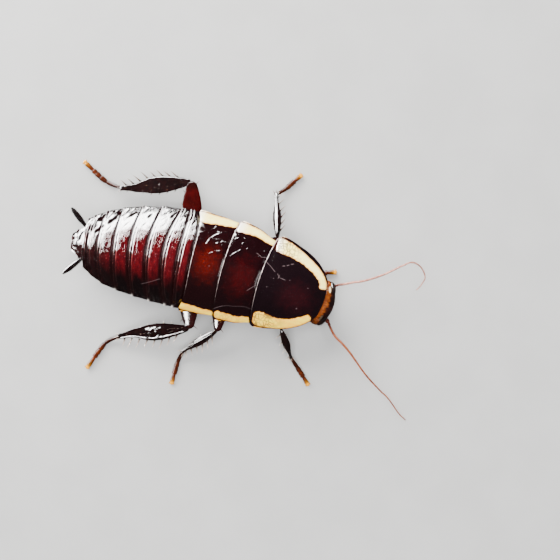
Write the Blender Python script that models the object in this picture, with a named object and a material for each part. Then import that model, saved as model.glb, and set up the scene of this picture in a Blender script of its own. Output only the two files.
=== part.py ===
"""A wingless wood cockroach with pale shoulder margins, life size, standing on its six feet.

The design frame has its origin on the floor under the waist, where the last thoracic plate
meets the abdomen. X runs forward along the body there, Y to the animal's left and Z up. The
finished model is moved so that the origin lies under the middle of its bounding box.
Body places are given as (along, across, up), measured on a midline that bends a little to
the right, the way the animal is turning.
"""

import math

import bmesh
import bpy
from mathutils import Matrix, Vector

MM = 0.001
GAP = 0.3 * MM
FRAME_SHIFT = Vector((-7.481, 1.502, 0.0)) * MM

# The midline bends over this reach on both sides of the waist, and runs straight beyond it.
BEND_REACH = 8.0 * MM
BEND_ANGLE = math.radians(5.8)

# The body's outline: half widths, and the places along the body that shape them.
WIDEST_AT = 3.0 * MM
WIDEST_HALF = 6.25 * MM
TAIL_TAPER_LENGTH = 18.6 * MM
TAIL_TAPER_POWER = 2.6
SHIELD_HALF = 5.9 * MM
SHIELD_NOSE_LENGTH = 8.15 * MM
SHIELD_NOSE_POWER = 0.444

# The trunk behind the shield leans to its right, which widens it on that side.
LEAN = 0.2 * MM
LEAN_FROM = -11.0 * MM
LEAN_TO = 8.0 * MM
LEAN_FADE = 2.5 * MM

# Where each plate's hind corners lie, and how far its hind edge bows back at the midline.
METANOTUM_HIND = 0.0 * MM
MESONOTUM_HIND = 5.1 * MM
PRONOTUM_HIND = 10.2 * MM
PRONOTUM_FRONT = 17.9 * MM
METANOTUM_BOW = -0.9 * MM
METANOTUM_FLATNESS = 4.5
MESONOTUM_BOW = 0.3 * MM
PRONOTUM_BOW = 0.65 * MM
PRONOTUM_FRONT_BOW = -0.25 * MM
SEGMENT_LENGTHS = [n * MM for n in (0.75, 1.1, 2.35, 2.4, 2.4, 2.1, 1.55, 0.8)]
SEGMENT_BOWS = [n * MM for n in (-0.05, 0.78, 0.53, 0.35, 0.05, 0.1, 0.0, 0.0)]
TAIL_PLATE_LENGTH = 1.75 * MM
TAIL_PLATE_SHARE = 0.68
TAIL_PLATE_TAPER = 0.4

# Heights above the floor, and the dome's rise as a share of the half width.
MARGIN_HEIGHT = 3.85 * MM
MARGIN_SLOPE = 0.05
SHIELD_FRONT_LIFT = 0.75 * MM
RISE_SHARE = 0.6
DOME_POWER = 0.95
EDGE_THICKNESS = 0.55 * MM
PLATE_THICKNESS = 0.8 * MM
SHINGLE = 0.12 * MM
BELLY_HEIGHT = 1.9 * MM
BELLY_WAIST_LIFT = 1.25 * MM
BELLY_TAIL_LIFT = 0.5 * MM
CORE_BOTTOM = 3.25 * MM
CORE_SHARE = 0.6

# The head's ellipsoid, pitched so that the face slopes back to the mouth.
HEAD_ALONG = 18.1 * MM
HEAD_ACROSS = -0.45 * MM
HEAD_HEIGHT = 2.75 * MM
HEAD_HALF = Vector((1.55, 2.8, 2.0)) * MM
HEAD_PITCH = math.radians(27)
EYE_PLACE = Vector((0.2, 2.38, 0.75)) * MM
EYE_HALF = Vector((0.75, 0.75, 1.1)) * MM

DARK = (0.045, 0.012, 0.009)
MAHOGANY = (0.12, 0.018, 0.010)
CREAM = (0.86, 0.66, 0.34)
AMBER = (0.42, 0.15, 0.035)
BLACK = (0.012, 0.010, 0.010)


def mm(x, y, z):
    """A point of the design frame given in millimetres."""
    return Vector((x, y, z)) * MM


def midline(along):
    """The midline's point and heading at a distance forward of the waist."""
    radius = BEND_REACH / BEND_ANGLE
    bent = max(-BEND_REACH, min(BEND_REACH, along))
    turn = bent / radius
    straight = along - bent
    heading = -turn
    point = Vector((radius * math.sin(turn), -radius * (1 - math.cos(turn)), 0))
    point += straight * Vector((math.cos(heading), math.sin(heading), 0))
    return point, heading


def place(along, across, up):
    """A body place as a point of the design frame."""
    point, heading = midline(along)
    left = Vector((-math.sin(heading), math.cos(heading), 0))
    return point + across * left + Vector((0, 0, up))


def lean(along):
    """How far the trunk leans to its right."""
    beyond = max(LEAN_FROM - along, along - LEAN_TO, 0.0)
    return LEAN * max(0.0, 1 - beyond / LEAN_FADE)


def half_width(along):
    """The dorsal outline's half width."""
    if along < WIDEST_AT:
        reach = min((WIDEST_AT - along) / TAIL_TAPER_LENGTH, 0.995)
        return WIDEST_HALF * math.sqrt(1 - reach**TAIL_TAPER_POWER) + lean(along)
    if along < PRONOTUM_HIND:
        share = (along - WIDEST_AT) / (PRONOTUM_HIND - WIDEST_AT)
        return WIDEST_HALF - (WIDEST_HALF - SHIELD_HALF) * share**2 + lean(along)
    reach = (along - PRONOTUM_HIND) / SHIELD_NOSE_LENGTH
    return SHIELD_HALF * (1 - reach**2) ** SHIELD_NOSE_POWER


def margin_height(along):
    """The height of the thin side margins."""
    height = MARGIN_HEIGHT + MARGIN_SLOPE * along
    if along > PRONOTUM_HIND:
        share = (along - PRONOTUM_HIND) / (PRONOTUM_FRONT - PRONOTUM_HIND)
        height += SHIELD_FRONT_LIFT * share**2
    return height


def rise(along):
    """How far the midline's ridge stands above the margins."""
    if along < PRONOTUM_HIND:
        return RISE_SHARE * half_width(along)
    share = (along - PRONOTUM_HIND) / (PRONOTUM_FRONT - PRONOTUM_HIND)
    return RISE_SHARE * SHIELD_HALF * (1 - 0.9 * share**2)


def top_height(along, u):
    """The dorsal surface's height at u, from -1 at the right margin to 1 at the left."""
    return margin_height(along) + rise(along) * (1 - abs(u) ** 2.1) ** DOME_POWER


def belly_height(along, u):
    """The ventral surface of the abdomen, which is hollowed at the waist for the coxae."""
    back = max(0.0, -along)
    lowest = BELLY_HEIGHT + BELLY_WAIST_LIFT * math.exp(-back / (1.9 * MM))
    lowest += BELLY_TAIL_LIFT * (back / (15 * MM)) ** 2
    edge = margin_height(along) - EDGE_THICKNESS
    return edge - max(edge - lowest, 0) * (1 - u * u) ** 0.8


def material(name, colour, roughness=0.25):
    made = bpy.data.materials.get(name) or bpy.data.materials.new(name)
    made.use_nodes = True
    shader = made.node_tree.nodes["Principled BSDF"]
    shader.inputs["Base Color"].default_value = (*colour, 1)
    shader.inputs["Roughness"].default_value = roughness
    shader.inputs["Metallic"].default_value = 0.0
    return made


def add_object(name, mesh, finish=None):
    made = bpy.data.objects.new(name, mesh)
    bpy.data.collections["cockroach"].objects.link(made)
    if finish:
        mesh.materials.clear()
        mesh.materials.append(finish)
    mesh.shade_smooth()
    mesh.set_sharp_from_angle(angle=math.radians(40))
    return made


def mesh_from(bm, name):
    bmesh.ops.recalc_face_normals(bm, faces=bm.faces)
    mesh = bpy.data.meshes.new(name)
    bm.to_mesh(mesh)
    bm.free()
    return mesh


def loft(name, sections, finish=None):
    """A closed body through closed sections of equal point counts, its ends filled across."""
    bm = bmesh.new()
    rings = [[bm.verts.new(point) for point in section] for section in sections]
    count = len(rings[0])
    for near, far in zip(rings, rings[1:]):
        for i in range(count):
            j = (i + 1) % count
            bm.faces.new((near[i], near[j], far[j], far[i]))
    for ring in (rings[0], rings[-1]):
        for i in range(count // 2 - 1):
            bm.faces.new((ring[i], ring[i + 1], ring[count - 2 - i], ring[count - 1 - i]))
    return add_object(name, mesh_from(bm, name), finish)


def spread(count):
    """Places from -1 to 1, closer together near the ends."""
    return [math.sin(math.pi / 2 * (2 * i / (count - 1) - 1)) for i in range(count)]


def slab(name, hind_edge, front_edge, rows, columns, top, bottom, finish):
    """A plate or ring of the body: sections across it, from a hind edge to a front edge.

    The edges give a place along the body for each u, and top and bottom give heights for
    (along, u, share), with share 0 at the hind edge and 1 at the front one.
    """
    sections = []
    for row in range(rows):
        share = row / (rows - 1)
        upper, lower = [], []
        for u in spread(columns):
            along = hind_edge(u) + share * (front_edge(u) - hind_edge(u))
            across = u * (half_width(along) + SHINGLE * (0.5 - share)) - lean(along)
            upper.append(place(along, across, top(along, u, share)))
            lower.append(place(along, across, bottom(along, u, share)))
        sections.append(upper + lower[::-1])
    return loft(name, sections, finish)


def bowed(corner, bow, flatness=2.0):
    """An edge across the body whose middle lies further back than its corners."""
    return lambda u: corner - bow * (1 - abs(u) ** flatness)


def shingled_top(along, u, share):
    """Each plate stands a little proud at its hind edge and is tucked in at its front."""
    return top_height(along, u) + SHINGLE * (1 - 2 * share) * (1 - 0.5 * abs(u))


def plate_bottom(along, u, share):
    thickness = EDGE_THICKNESS + (PLATE_THICKNESS - EDGE_THICKNESS) * (1 - u * u)
    return top_height(along, u) - thickness


def build_plates():
    """The three dorsal plates of the thorax."""
    waist = bowed(METANOTUM_HIND, METANOTUM_BOW, METANOTUM_FLATNESS)
    plates = (
        ("metanotum", waist, MESONOTUM_HIND - GAP, MESONOTUM_BOW, 5),
        ("mesonotum", bowed(MESONOTUM_HIND, MESONOTUM_BOW), PRONOTUM_HIND - GAP, PRONOTUM_BOW, 5),
        ("pronotum", bowed(PRONOTUM_HIND, PRONOTUM_BOW), PRONOTUM_FRONT, PRONOTUM_FRONT_BOW, 9),
    )
    for name, hind_edge, front, front_bow, rows in plates:
        slab(
            name,
            hind_edge,
            bowed(front, front_bow),
            rows,
            17,
            shingled_top,
            plate_bottom,
            material("plate_" + name, DARK),
        )


def build_cores():
    """The three narrower bodies under the plates, which carry the legs and the neck."""
    cores = (
        ("metathorax", METANOTUM_HIND, METANOTUM_BOW, MESONOTUM_HIND - 2 * GAP),
        ("mesothorax", MESONOTUM_HIND - GAP, 0.0, PRONOTUM_HIND - 3 * GAP),
        ("prothorax", PRONOTUM_HIND - 2 * GAP, 0.0, PRONOTUM_FRONT - 3.4 * MM),
    )
    for name, hind_corner, bow, front in cores:
        sections = []
        for share in (0.0, 0.5, 1.0):
            upper, lower = [], []
            for u in spread(9):
                v = CORE_SHARE * u
                hind = bowed(hind_corner, bow, METANOTUM_FLATNESS)(v)
                along = hind + share * (front - hind)
                across = v * half_width(along) - lean(along)
                under_plate = plate_bottom(along, v, share) - 1.6 * GAP
                keel = CORE_BOTTOM + 0.5 * MM * abs(u) ** 3
                upper.append(place(along, across, under_plate))
                lower.append(place(along, across, min(keel, under_plate - 0.5 * MM)))
            sections.append(upper + lower[::-1])
        loft(name, sections, material("thorax_underside", MAHOGANY))


def ring_bottom(along, u, share):
    return belly_height(along, u)


def build_abdomen():
    """Eight rings, each with its tergite above and sternite below, and the tail plate."""
    hind_corner = METANOTUM_HIND - GAP
    front_edge = bowed(hind_corner, METANOTUM_BOW, METANOTUM_FLATNESS)
    for number, (length, bow) in enumerate(zip(SEGMENT_LENGTHS, SEGMENT_BOWS), 1):
        hind_corner -= length
        slab(
            f"abdomen_segment_{number}",
            bowed(hind_corner + GAP, bow),
            front_edge,
            4,
            15,
            shingled_top,
            ring_bottom,
            material("abdomen", MAHOGANY),
        )
        front_edge = bowed(hind_corner, bow)
    sections = []
    for share in (0.0, 0.25, 0.6, 1.0):
        upper, lower = [], []
        for u in spread(11):
            front = front_edge(TAIL_PLATE_SHARE * u)
            hind = hind_corner - TAIL_PLATE_LENGTH * (1 - 0.45 * u**2)
            along = hind + share * (front - hind)
            v = u * TAIL_PLATE_SHARE * (1 - TAIL_PLATE_TAPER * (1 - share))
            across = v * half_width(hind_corner - 0.3 * MM)
            upper.append(place(along, across, top_height(along, v) - 0.1 * MM))
            lower.append(place(along, across, belly_height(along, v) + 0.1 * MM))
        sections.append(upper + lower[::-1])
    loft("tail_plate", sections, material("abdomen", MAHOGANY))


def ellipsoid(name, half, centre, turn, around=20, rows=14):
    """An ellipsoid with the given half sizes, turned and moved into place."""
    bm = bmesh.new()
    bmesh.ops.create_uvsphere(bm, u_segments=around, v_segments=rows, radius=1)
    shape = Matrix.Diagonal((*half, 1))
    bmesh.ops.transform(bm, matrix=Matrix.Translation(centre) @ turn @ shape, verts=bm.verts)
    return add_object(name, mesh_from(bm, name))


def spike(name, base, direction, length, base_radius=0.25 * MM, tip_radius=0.06 * MM, sides=5):
    """A tapered spine whose base point lies inside what it grows from."""
    bm = bmesh.new()
    bmesh.ops.create_cone(
        bm, cap_ends=True, segments=sides, radius1=base_radius, radius2=tip_radius, depth=length
    )
    turn = direction.normalized().to_track_quat("Z", "Y").to_matrix().to_4x4()
    centre = base + direction.normalized() * length / 2
    bmesh.ops.transform(bm, matrix=Matrix.Translation(centre) @ turn, verts=bm.verts)
    return add_object(name, mesh_from(bm, name))


def smooth_path(points, per_span):
    """Points along a smooth curve through the given ones (Catmull-Rom)."""
    ends = [2 * points[0] - points[1], *points, 2 * points[-1] - points[-2]]
    path = []
    for a, b, c, d in zip(ends, ends[1:], ends[2:], ends[3:]):
        for step in range(per_span):
            t = step / per_span
            path.append(
                0.5 * (2 * b + (c - a) * t + (2 * a - 5 * b + 4 * c - d) * t**2
                       + (3 * b - a - 3 * c + d) * t**3)
            )
    return [*path, points[-1]]


def tube(name, path, radii, resolution=2):
    """A round tube along a path, as a mesh with its caps welded on."""
    curve = bpy.data.curves.new(name, "CURVE")
    curve.dimensions = "3D"
    curve.bevel_depth = 1.0 * MM
    curve.bevel_resolution = resolution
    curve.use_fill_caps = True
    spline = curve.splines.new("POLY")
    spline.points.add(len(path) - 1)
    for point, place_, radius in zip(spline.points, path, radii):
        point.co = (*place_, 1)
        point.radius = radius / MM
    guide = bpy.data.objects.new(name + "_guide", curve)
    bpy.context.scene.collection.objects.link(guide)
    graph = bpy.context.evaluated_depsgraph_get()
    mesh = bpy.data.meshes.new_from_object(guide.evaluated_get(graph))
    bpy.data.objects.remove(guide)
    bm = bmesh.new()
    bm.from_mesh(mesh)
    bpy.data.meshes.remove(mesh)
    bmesh.ops.remove_doubles(bm, verts=bm.verts, dist=0.001 * MM)
    return add_object(name, mesh_from(bm, name))


def keep_largest(mesh):
    """Drops every closed surface but the largest, so that the node stays one body."""
    bm = bmesh.new()
    bm.from_mesh(mesh)
    left = set(bm.verts)
    shells = []
    while left:
        shell, edge = set(), {left.pop()}
        while edge:
            shell |= edge
            edge = {e.other_vert(v) for v in edge for e in v.link_edges} - shell
        left -= shell
        shells.append(shell)
    largest = max(shells, key=len)
    bmesh.ops.delete(bm, geom=[v for v in bm.verts if v not in largest], context="VERTS")
    bm.to_mesh(mesh)
    bm.free()


def fuse(name, body, pieces, finish, cutters=()):
    """Joins closed pieces to a body by one Boolean union, then cuts it, as one closed node."""
    for operation, others in (("UNION", pieces), ("DIFFERENCE", cutters)):
        if not others:
            continue
        group = bpy.data.collections.new(name + "_pieces")
        bpy.context.scene.collection.children.link(group)
        for other in others:
            bpy.data.collections["cockroach"].objects.unlink(other)
            group.objects.link(other)
        joint = body.modifiers.new("join", "BOOLEAN")
        joint.operation = operation
        joint.operand_type = "COLLECTION"
        joint.collection = group
        joint.solver = "EXACT"
        graph = bpy.context.evaluated_depsgraph_get()
        mesh = bpy.data.meshes.new_from_object(body.evaluated_get(graph))
        body.modifiers.clear()
        body.data = mesh
        for other in others:
            bpy.data.objects.remove(other)
        bpy.data.collections.remove(group)
    keep_largest(body.data)
    body.data.materials.clear()
    body.data.materials.append(finish)
    body.name = name
    return body


def head_place(forward, across, up):
    """A point of the head's own frame, which is pitched and heads with the shield."""
    centre = place(HEAD_ALONG, HEAD_ACROSS, HEAD_HEIGHT)
    return centre + head_turn() @ Vector((forward, across, up))


def head_turn():
    heading = midline(HEAD_ALONG)[1]
    turn = Matrix.Rotation(heading, 4, "Z") @ Matrix.Rotation(HEAD_PITCH, 4, "Y")
    return turn


def build_head():
    """The head capsule with its mouthparts, the sunk eyes, the palps and the neck."""
    turn = head_turn()
    capsule = ellipsoid("head", HEAD_HALF, head_place(0, 0, 0), turn)
    mouthparts = [
        ellipsoid("clypeus", mm(0.55, 1.05, 0.8), head_place(*mm(1.0, 0, -1.05)), turn, 12, 8),
        ellipsoid("labrum", mm(0.4, 0.8, 0.6), head_place(*mm(0.75, 0, -1.75)), turn, 12, 8),
        ellipsoid("labium", mm(0.6, 0.85, 0.6), head_place(*mm(-0.55, 0, -1.55)), turn, 12, 8),
    ]
    cutters = []
    for side in (-1, 1):
        jaw = mm(0.45, 0.45, 0.65)
        mouthparts.append(
            ellipsoid("jaw", jaw, head_place(*mm(0.35, side * 0.95, -1.5)), turn, 10, 8)
        )
        rim = head_place(SOCKET.x, side * SOCKET.y, SOCKET.z)
        mouthparts.append(ellipsoid("socket", SOCKET_HALF, rim, turn, 10, 8))
        eye = Vector((EYE_PLACE.x, side * EYE_PLACE.y, EYE_PLACE.z))
        clear = EYE_HALF + Vector((GAP, GAP, GAP))
        cutters.append(ellipsoid("eye_socket", clear, head_place(*eye), turn, 16, 10))
        sphere = ellipsoid("eye", EYE_HALF, head_place(*eye), turn, 14, 10)
        name = "eye_left" if side > 0 else "eye_right"
        fuse(name, sphere, [], material("eye", BLACK, 0.1))
    fuse("head", capsule, mouthparts, material("head", AMBER), cutters)
    for side, name in ((1, "palp_left"), (-1, "palp_right")):
        joints = [
            head_place(*mm(0.25, side * 1.95, -1.93)),
            head_place(*mm(0.8, side * 2.2, -1.75)),
            head_place(*mm(1.35, side * 2.1, -1.5)),
            head_place(*mm(1.8, side * 1.75, -1.5)),
            head_place(*mm(1.95, side * 1.35, -1.65)),
        ]
        radii = [n * MM for n in (0.25, 0.29, 0.25, 0.28, 0.25, 0.28, 0.3, 0.33, 0.22)]
        fuse(name, tube(name, smooth_path(joints, 2), radii), [], material("palp", AMBER))
    sections = []
    for along in (PRONOTUM_FRONT - 3.1 * MM, PRONOTUM_FRONT - 1.95 * MM):
        ring = [i * math.tau / 12 for i in range(12)]
        sections.append(
            [place(along, 1.3 * MM * math.cos(a), 3.6 * MM + 0.65 * MM * math.sin(a)) for a in ring]
        )
    loft("neck", sections, material("neck", AMBER))


SOCKET = Vector((1.05, 1.75, -0.1)) * MM
SOCKET_HALF = Vector((0.5, 0.45, 0.45)) * MM

# Each antenna's route on from its socket on the face.
ANTENNA_ROUTES = {
    "left": [
        (20.3, 1.2, 3.1), (21.4, 1.6, 3.7), (22.7, 2.1, 4.1),
        (24.9, 3.4, 4.2), (27.0, 5.0, 3.8), (28.3, 5.75, 3.3), (29.6, 5.4, 2.8),
        (30.5, 4.3, 2.3), (30.3, 3.2, 1.9), (29.9, 2.4, 1.6),
    ],
    "right": [
        (19.75, -4.6, 2.8), (20.6, -5.6, 3.2), (21.8, -6.5, 3.4),
        (23.2, -7.65, 3.2), (25.6, -9.8, 2.6), (28.0, -11.5, 2.0), (29.3, -12.3, 1.7),
        (31.2, -14.0, 1.2), (32.3, -14.7, 1.0),
    ],
}
ANTENNA_RADIUS = 0.28 * MM
ANTENNA_TIP_RADIUS = 0.1 * MM
SCAPE_RADIUS = 0.42 * MM
SCAPE_LENGTH = 1.0 * MM
PEDICEL_LENGTH = 0.5 * MM
ANTENNA_CUTS = (0.0, 0.24, 0.64, 1.0)


def path_lengths(path):
    lengths = [0.0]
    for near, far in zip(path, path[1:]):
        lengths.append(lengths[-1] + (far - near).length)
    return lengths


def stretch(path, first, last, count):
    """Evenly spaced points of a path between two distances from its start."""
    lengths = path_lengths(path)
    points = []
    for i in range(count):
        wanted = first + (last - first) * i / (count - 1)
        span = max(k for k in range(len(path) - 1) if k == 0 or lengths[k] < wanted)
        share = (wanted - lengths[span]) / (lengths[span + 1] - lengths[span])
        points.append(path[span].lerp(path[span + 1], share))
    return points


def antenna_radius(distance, whole):
    """The antenna's radius: the stout scape, the short pedicel, then the tapering whip."""
    if distance < SCAPE_LENGTH:
        return SCAPE_RADIUS * (0.85 + 0.15 * math.sin(math.pi * distance / SCAPE_LENGTH))
    if distance < SCAPE_LENGTH + PEDICEL_LENGTH:
        return ANTENNA_RADIUS * 1.15
    share = max(0.0, distance / whole - 0.5) / 0.5
    return ANTENNA_RADIUS + (ANTENNA_TIP_RADIUS - ANTENNA_RADIUS) * share**1.5


def build_antennae():
    """Each antenna in three lengths, the first with the thick scape at its root."""
    for side, route in ANTENNA_ROUTES.items():
        across = SOCKET.y if side == "left" else -SOCKET.y
        root = head_place(SOCKET.x + SOCKET_HALF.x + 2 * GAP, 1.08 * across, SOCKET.z)
        path = smooth_path([root, *[mm(*point) for point in route]], 5)
        whole = path_lengths(path)[-1]
        for part, (near, far) in enumerate(zip(ANTENNA_CUTS, ANTENNA_CUTS[1:])):
            name = f"antenna_{side}_{('base', 'middle', 'tip')[part]}"
            first = near * whole + (GAP if part else 0)
            count = 14 if part else 12
            radii = [
                antenna_radius(first + (far * whole - first) * i / (count - 1), whole)
                for i in range(count)
            ]
            made = tube(name, stretch(path, first, far * whole, count), radii)
            fuse(name, made, [], material("antenna", AMBER, 0.4))


# Each leg's joints: coxa base and tip as body places without height, then knee, ankle and
# the tarsus's points in the design frame.
LEGS = {
    "front_left": {
        "coxa": ((13.4, 2.2), (10.3, 0.8)),
        "knee": (12.9, 4.5, 2.2),
        "ankle": (15.3, 1.55, 0.95),
        "foot": [(16.9, 1.75, 0.33), (17.9, 2.1, 0.28), (18.9, 2.4, 0.3)],
    },
    "front_right": {
        "coxa": ((13.4, -2.3), (10.2, -0.8)),
        "knee": (13.5, -6.25, 2.7),
        "ankle": (15.75, -10.0, 0.95),
        "foot": [(16.85, -11.1, 0.33), (17.6, -11.85, 0.28), (18.6, -12.9, 0.3)],
    },
    "middle_left": {
        "coxa": ((8.7, 2.4), (5.6, 0.95)),
        "knee": (10.6, 4.9, 2.4),
        "ankle": (9.15, 10.9, 0.95),
        "foot": [(10.15, 11.85, 0.33), (10.85, 12.8, 0.28), (11.7, 13.95, 0.3)],
    },
    "middle_right": {
        "coxa": ((8.6, -2.7), (4.9, -0.95)),
        "knee": (5.55, -8.35, 3.0),
        "ankle": (1.45, -12.3, 0.95),
        "foot": [(1.1, -13.7, 0.33), (1.0, -14.8, 0.28), (0.9, -16.6, 0.3)],
    },
    "hind_left": {
        "coxa": ((3.6, 3.0), (-0.1, 1.1)),
        "knee": (-1.85, 9.75, 2.95),
        "ankle": (-11.2, 7.15, 0.95),
        "foot": [(-13.0, 7.5, 0.36), (-14.4, 8.1, 0.28), (-16.7, 9.5, 0.3)],
    },
    "hind_right": {
        "coxa": ((3.6, -3.0), (-0.1, -1.1)),
        "knee": (1.95, -8.8, 3.1),
        "ankle": (-7.2, -12.1, 0.95),
        "foot": [(-8.7, -13.2, 0.36), (-9.5, -14.6, 0.28), (-10.5, -17.0, 0.3)],
    },
}

COXA_HEIGHT = 2.66 * MM
FEMUR_ROOT_HEIGHT = 1.22 * MM
KNEE_ROOM = {"front": 0.48 * MM, "middle": 0.58 * MM, "hind": 0.98 * MM}
FOLDED_KNEE_ROOM = 1.02 * MM

# Half breadths and half thicknesses at shares of a limb's length, for a hind leg.
COXA_SHAPE = ((0.0, 0.7, 0.34), (0.15, 0.95, 0.36), (0.5, 1.0, 0.36), (0.85, 0.65, 0.34), (1.0, 0.4, 0.28))
FEMUR_SHAPE = (
    (0.0, 0.35, 0.32), (0.06, 0.5, 0.42), (0.25, 1.0, 0.5), (0.5, 1.22, 0.5),
    (0.72, 1.18, 0.46), (0.88, 0.85, 0.42), (0.96, 0.62, 0.38), (1.0, 0.42, 0.28),
)
TIBIA_SHAPE = (
    (0.0, 0.33, 0.3), (0.06, 0.5, 0.38), (0.24, 0.9, 0.45), (0.43, 1.12, 0.46),
    (0.56, 1.04, 0.42), (0.7, 0.7, 0.37), (0.85, 0.42, 0.33), (1.0, 0.34, 0.3),
)
BREADTH = {"front": 0.62, "middle": 0.78, "hind": 1.0}
TIBIA_BREADTH = {"front": 0.46, "middle": 0.58, "hind": 1.0}
LEAST_HALF = 0.29
SPINE_LENGTH = 1.15 * MM
SPINE_SHARES = {"front": (0.35, 0.6, 0.8), "middle": (0.3, 0.5, 0.68, 0.85),
                "hind": (0.22, 0.38, 0.54, 0.7, 0.86)}
TOP_SPINE_SHARES = {"front": (0.5, 0.75), "middle": (0.35, 0.6, 0.8), "hind": (0.25, 0.45, 0.65, 0.85)}
SPUR_LENGTH = 1.0 * MM


def limb_axes(start, end, roll=0.0):
    """The axis, breadth and thickness directions of a limb, its breadth level unless rolled."""
    axis = (end - start).normalized()
    breadth = Vector((0, 0, 1)).cross(axis).normalized()
    breadth = Matrix.Rotation(roll, 3, axis) @ breadth
    return axis, breadth, axis.cross(breadth)


def limb(name, start, end, shape, scale, sides=12, roll=0.0):
    """A limb's closed oval body through the sections of its shape."""
    axis, breadth, thickness = limb_axes(start, end, roll)
    length = (end - start).length
    sections = []
    for share, half_breadth, half_thickness in shape:
        centre = start + axis * length * share
        wide = max(half_breadth * scale, min(half_breadth, LEAST_HALF)) * MM
        section = []
        for i in range(sides):
            angle = math.tau * (i + 0.5) / sides
            section.append(
                centre
                + breadth * wide * math.cos(angle)
                + thickness * half_thickness * MM * math.sin(angle)
            )
        sections.append(section)
    return loft(name, sections)


def half_breadth_at(shape, share, scale):
    """The half breadth of a limb's shape at a share of its length."""
    for (near, low, _), (far, high, _) in zip(shape, shape[1:]):
        if near <= share <= far:
            return (low + (high - low) * (share - near) / (far - near)) * scale * MM
    return shape[-1][1] * scale * MM


def tibia_spines(start, end, rank, scale):
    """Spines along the tibia's two edges and its top, and four spurs round its end."""
    axis, breadth, thickness = limb_axes(start, end)
    length = (end - start).length
    made = []
    for side in (-1, 1):
        for number, share in enumerate(SPINE_SHARES[rank]):
            share = share - 0.04 * (side > 0)
            out = half_breadth_at(TIBIA_SHAPE, share, scale) - 0.22 * MM
            base = start + axis * length * share + breadth * side * out
            lift = 0.35 if number % 2 else 0.1
            direction = breadth * side + axis * 0.55 + Vector((0, 0, lift))
            made.append(spike("spine", base, direction, SPINE_LENGTH))
    for share in TOP_SPINE_SHARES[rank]:
        base = start + axis * length * share + Vector((0, 0, 0.12 * MM))
        made.append(spike("spine", base, axis * 0.8 + Vector((0, 0, 1.0)), SPINE_LENGTH))
    for side, lift in ((-1, 0.25), (1, 0.25), (-0.35, 0.8), (0.35, 0.8)):
        base = end - axis * 0.35 * MM + breadth * side * 0.1 * MM
        direction = breadth * side * 0.8 + axis * 0.75 + Vector((0, 0, lift))
        made.append(spike("spur", base, direction, SPUR_LENGTH))
    return made


def level_sole(mesh):
    """Flattens what would reach below the floor into a sole at floor level."""
    for vertex in mesh.vertices:
        vertex.co.z = max(vertex.co.z, 0.0)


TARSUS_RADII = (0.27, 0.31, 0.27, 0.31, 0.28, 0.32, 0.29, 0.33, 0.3, 0.34, 0.3, 0.36, 0.32)


def build_tarsus(name, knee, ankle, foot):
    """The foot: a beaded tube that comes down to the floor, with two claws at its end."""
    onward = (ankle - knee).normalized()
    root = ankle + (onward + (foot[0] - ankle).normalized()).normalized() * (GAP + 0.28 * MM)
    path = smooth_path([root, *foot], 4)
    made = tube(name, path, [n * MM for n in TARSUS_RADII])
    level_sole(made.data)
    forward = (foot[-1] - foot[-2]).normalized()
    across = Vector((0, 0, 1)).cross(forward).normalized()
    claws = []
    for side in (-1, 1):
        base = foot[-1] - forward * 0.12 * MM + across * side * 0.08 * MM
        direction = forward + across * side * 0.75 + Vector((0, 0, 0.12))
        claws.append(spike("claw", base, direction, 0.75 * MM, 0.22 * MM, 0.06 * MM))
    return fuse(name, made, claws, material("foot", AMBER, 0.4))


def build_legs():
    """Six legs, each a coxa, a femur, a spined tibia and a tarsus."""
    for leg, joints in LEGS.items():
        rank = leg.split("_")[0]
        scale = BREADTH[rank]
        (base_along, base_across), (tip_along, tip_across) = joints["coxa"]
        base = place(base_along * MM, base_across * MM, COXA_HEIGHT)
        tip = place(tip_along * MM, tip_across * MM, COXA_HEIGHT - 0.1 * MM)
        coxa_scale = 0.75 + 0.25 * scale
        coxa = limb(f"coxa_{leg}", base, tip, COXA_SHAPE, coxa_scale, 10)
        fuse(f"coxa_{leg}", coxa, [], material("coxa", MAHOGANY))
        knee = mm(*joints["knee"])
        root = Vector((tip.x, tip.y, FEMUR_ROOT_HEIGHT))
        femur = limb(f"femur_{leg}", root, knee, FEMUR_SHAPE, scale)
        fuse(f"femur_{leg}", femur, [], material("femur", MAHOGANY))
        ankle = mm(*joints["ankle"])
        room = FOLDED_KNEE_ROOM if leg == "front_left" else KNEE_ROOM[rank]
        start = knee + (ankle - knee).normalized() * room
        tibia = limb(f"tibia_{leg}", start, ankle, TIBIA_SHAPE, TIBIA_BREADTH[rank])
        spines = tibia_spines(start, ankle, rank, TIBIA_BREADTH[rank])
        fuse(f"tibia_{leg}", tibia, spines, material("tibia", DARK))
        build_tarsus(f"tarsus_{leg}", knee, ankle, [mm(*point) for point in joints["foot"]])


CERCUS_SHAPE = (
    (0.0, 0.24, 0.24), (0.15, 0.33, 0.3), (0.4, 0.41, 0.32), (0.65, 0.42, 0.32),
    (0.86, 0.32, 0.26), (1.0, 0.12, 0.12),
)
CERCI = {"left": ((-14.25, 1.42, 3.2), (-16.3, 3.15, 3.3)),
         "right": ((-13.8, -3.27, 3.2), (-15.6, -5.5, 3.3))}


def build_cerci():
    """The two short tapered feelers at the tail."""
    for side, (base, tip) in CERCI.items():
        name = f"cercus_{side}"
        fuse(name, limb(name, mm(*base), mm(*tip), CERCUS_SHAPE, 1.0, 10), [], material("cercus", DARK))


def main():
    for old in list(bpy.data.objects):
        bpy.data.objects.remove(old)
    collection = bpy.data.collections.new("cockroach")
    bpy.context.scene.collection.children.link(collection)
    build_plates()
    build_cores()
    build_abdomen()
    build_head()
    build_antennae()
    build_legs()
    build_cerci()
    for node in collection.objects:
        node.location += FRAME_SHIFT


main()
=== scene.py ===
"""The looks of the wingless wood cockroach: shell plates, head, feelers and spiny legs.

All shapes are worked out in millimetres in the same design frame as the solids, whose
origin is on the floor under the waist, and are moved and scaled when a mesh is made.
"""

import math
import random

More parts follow.
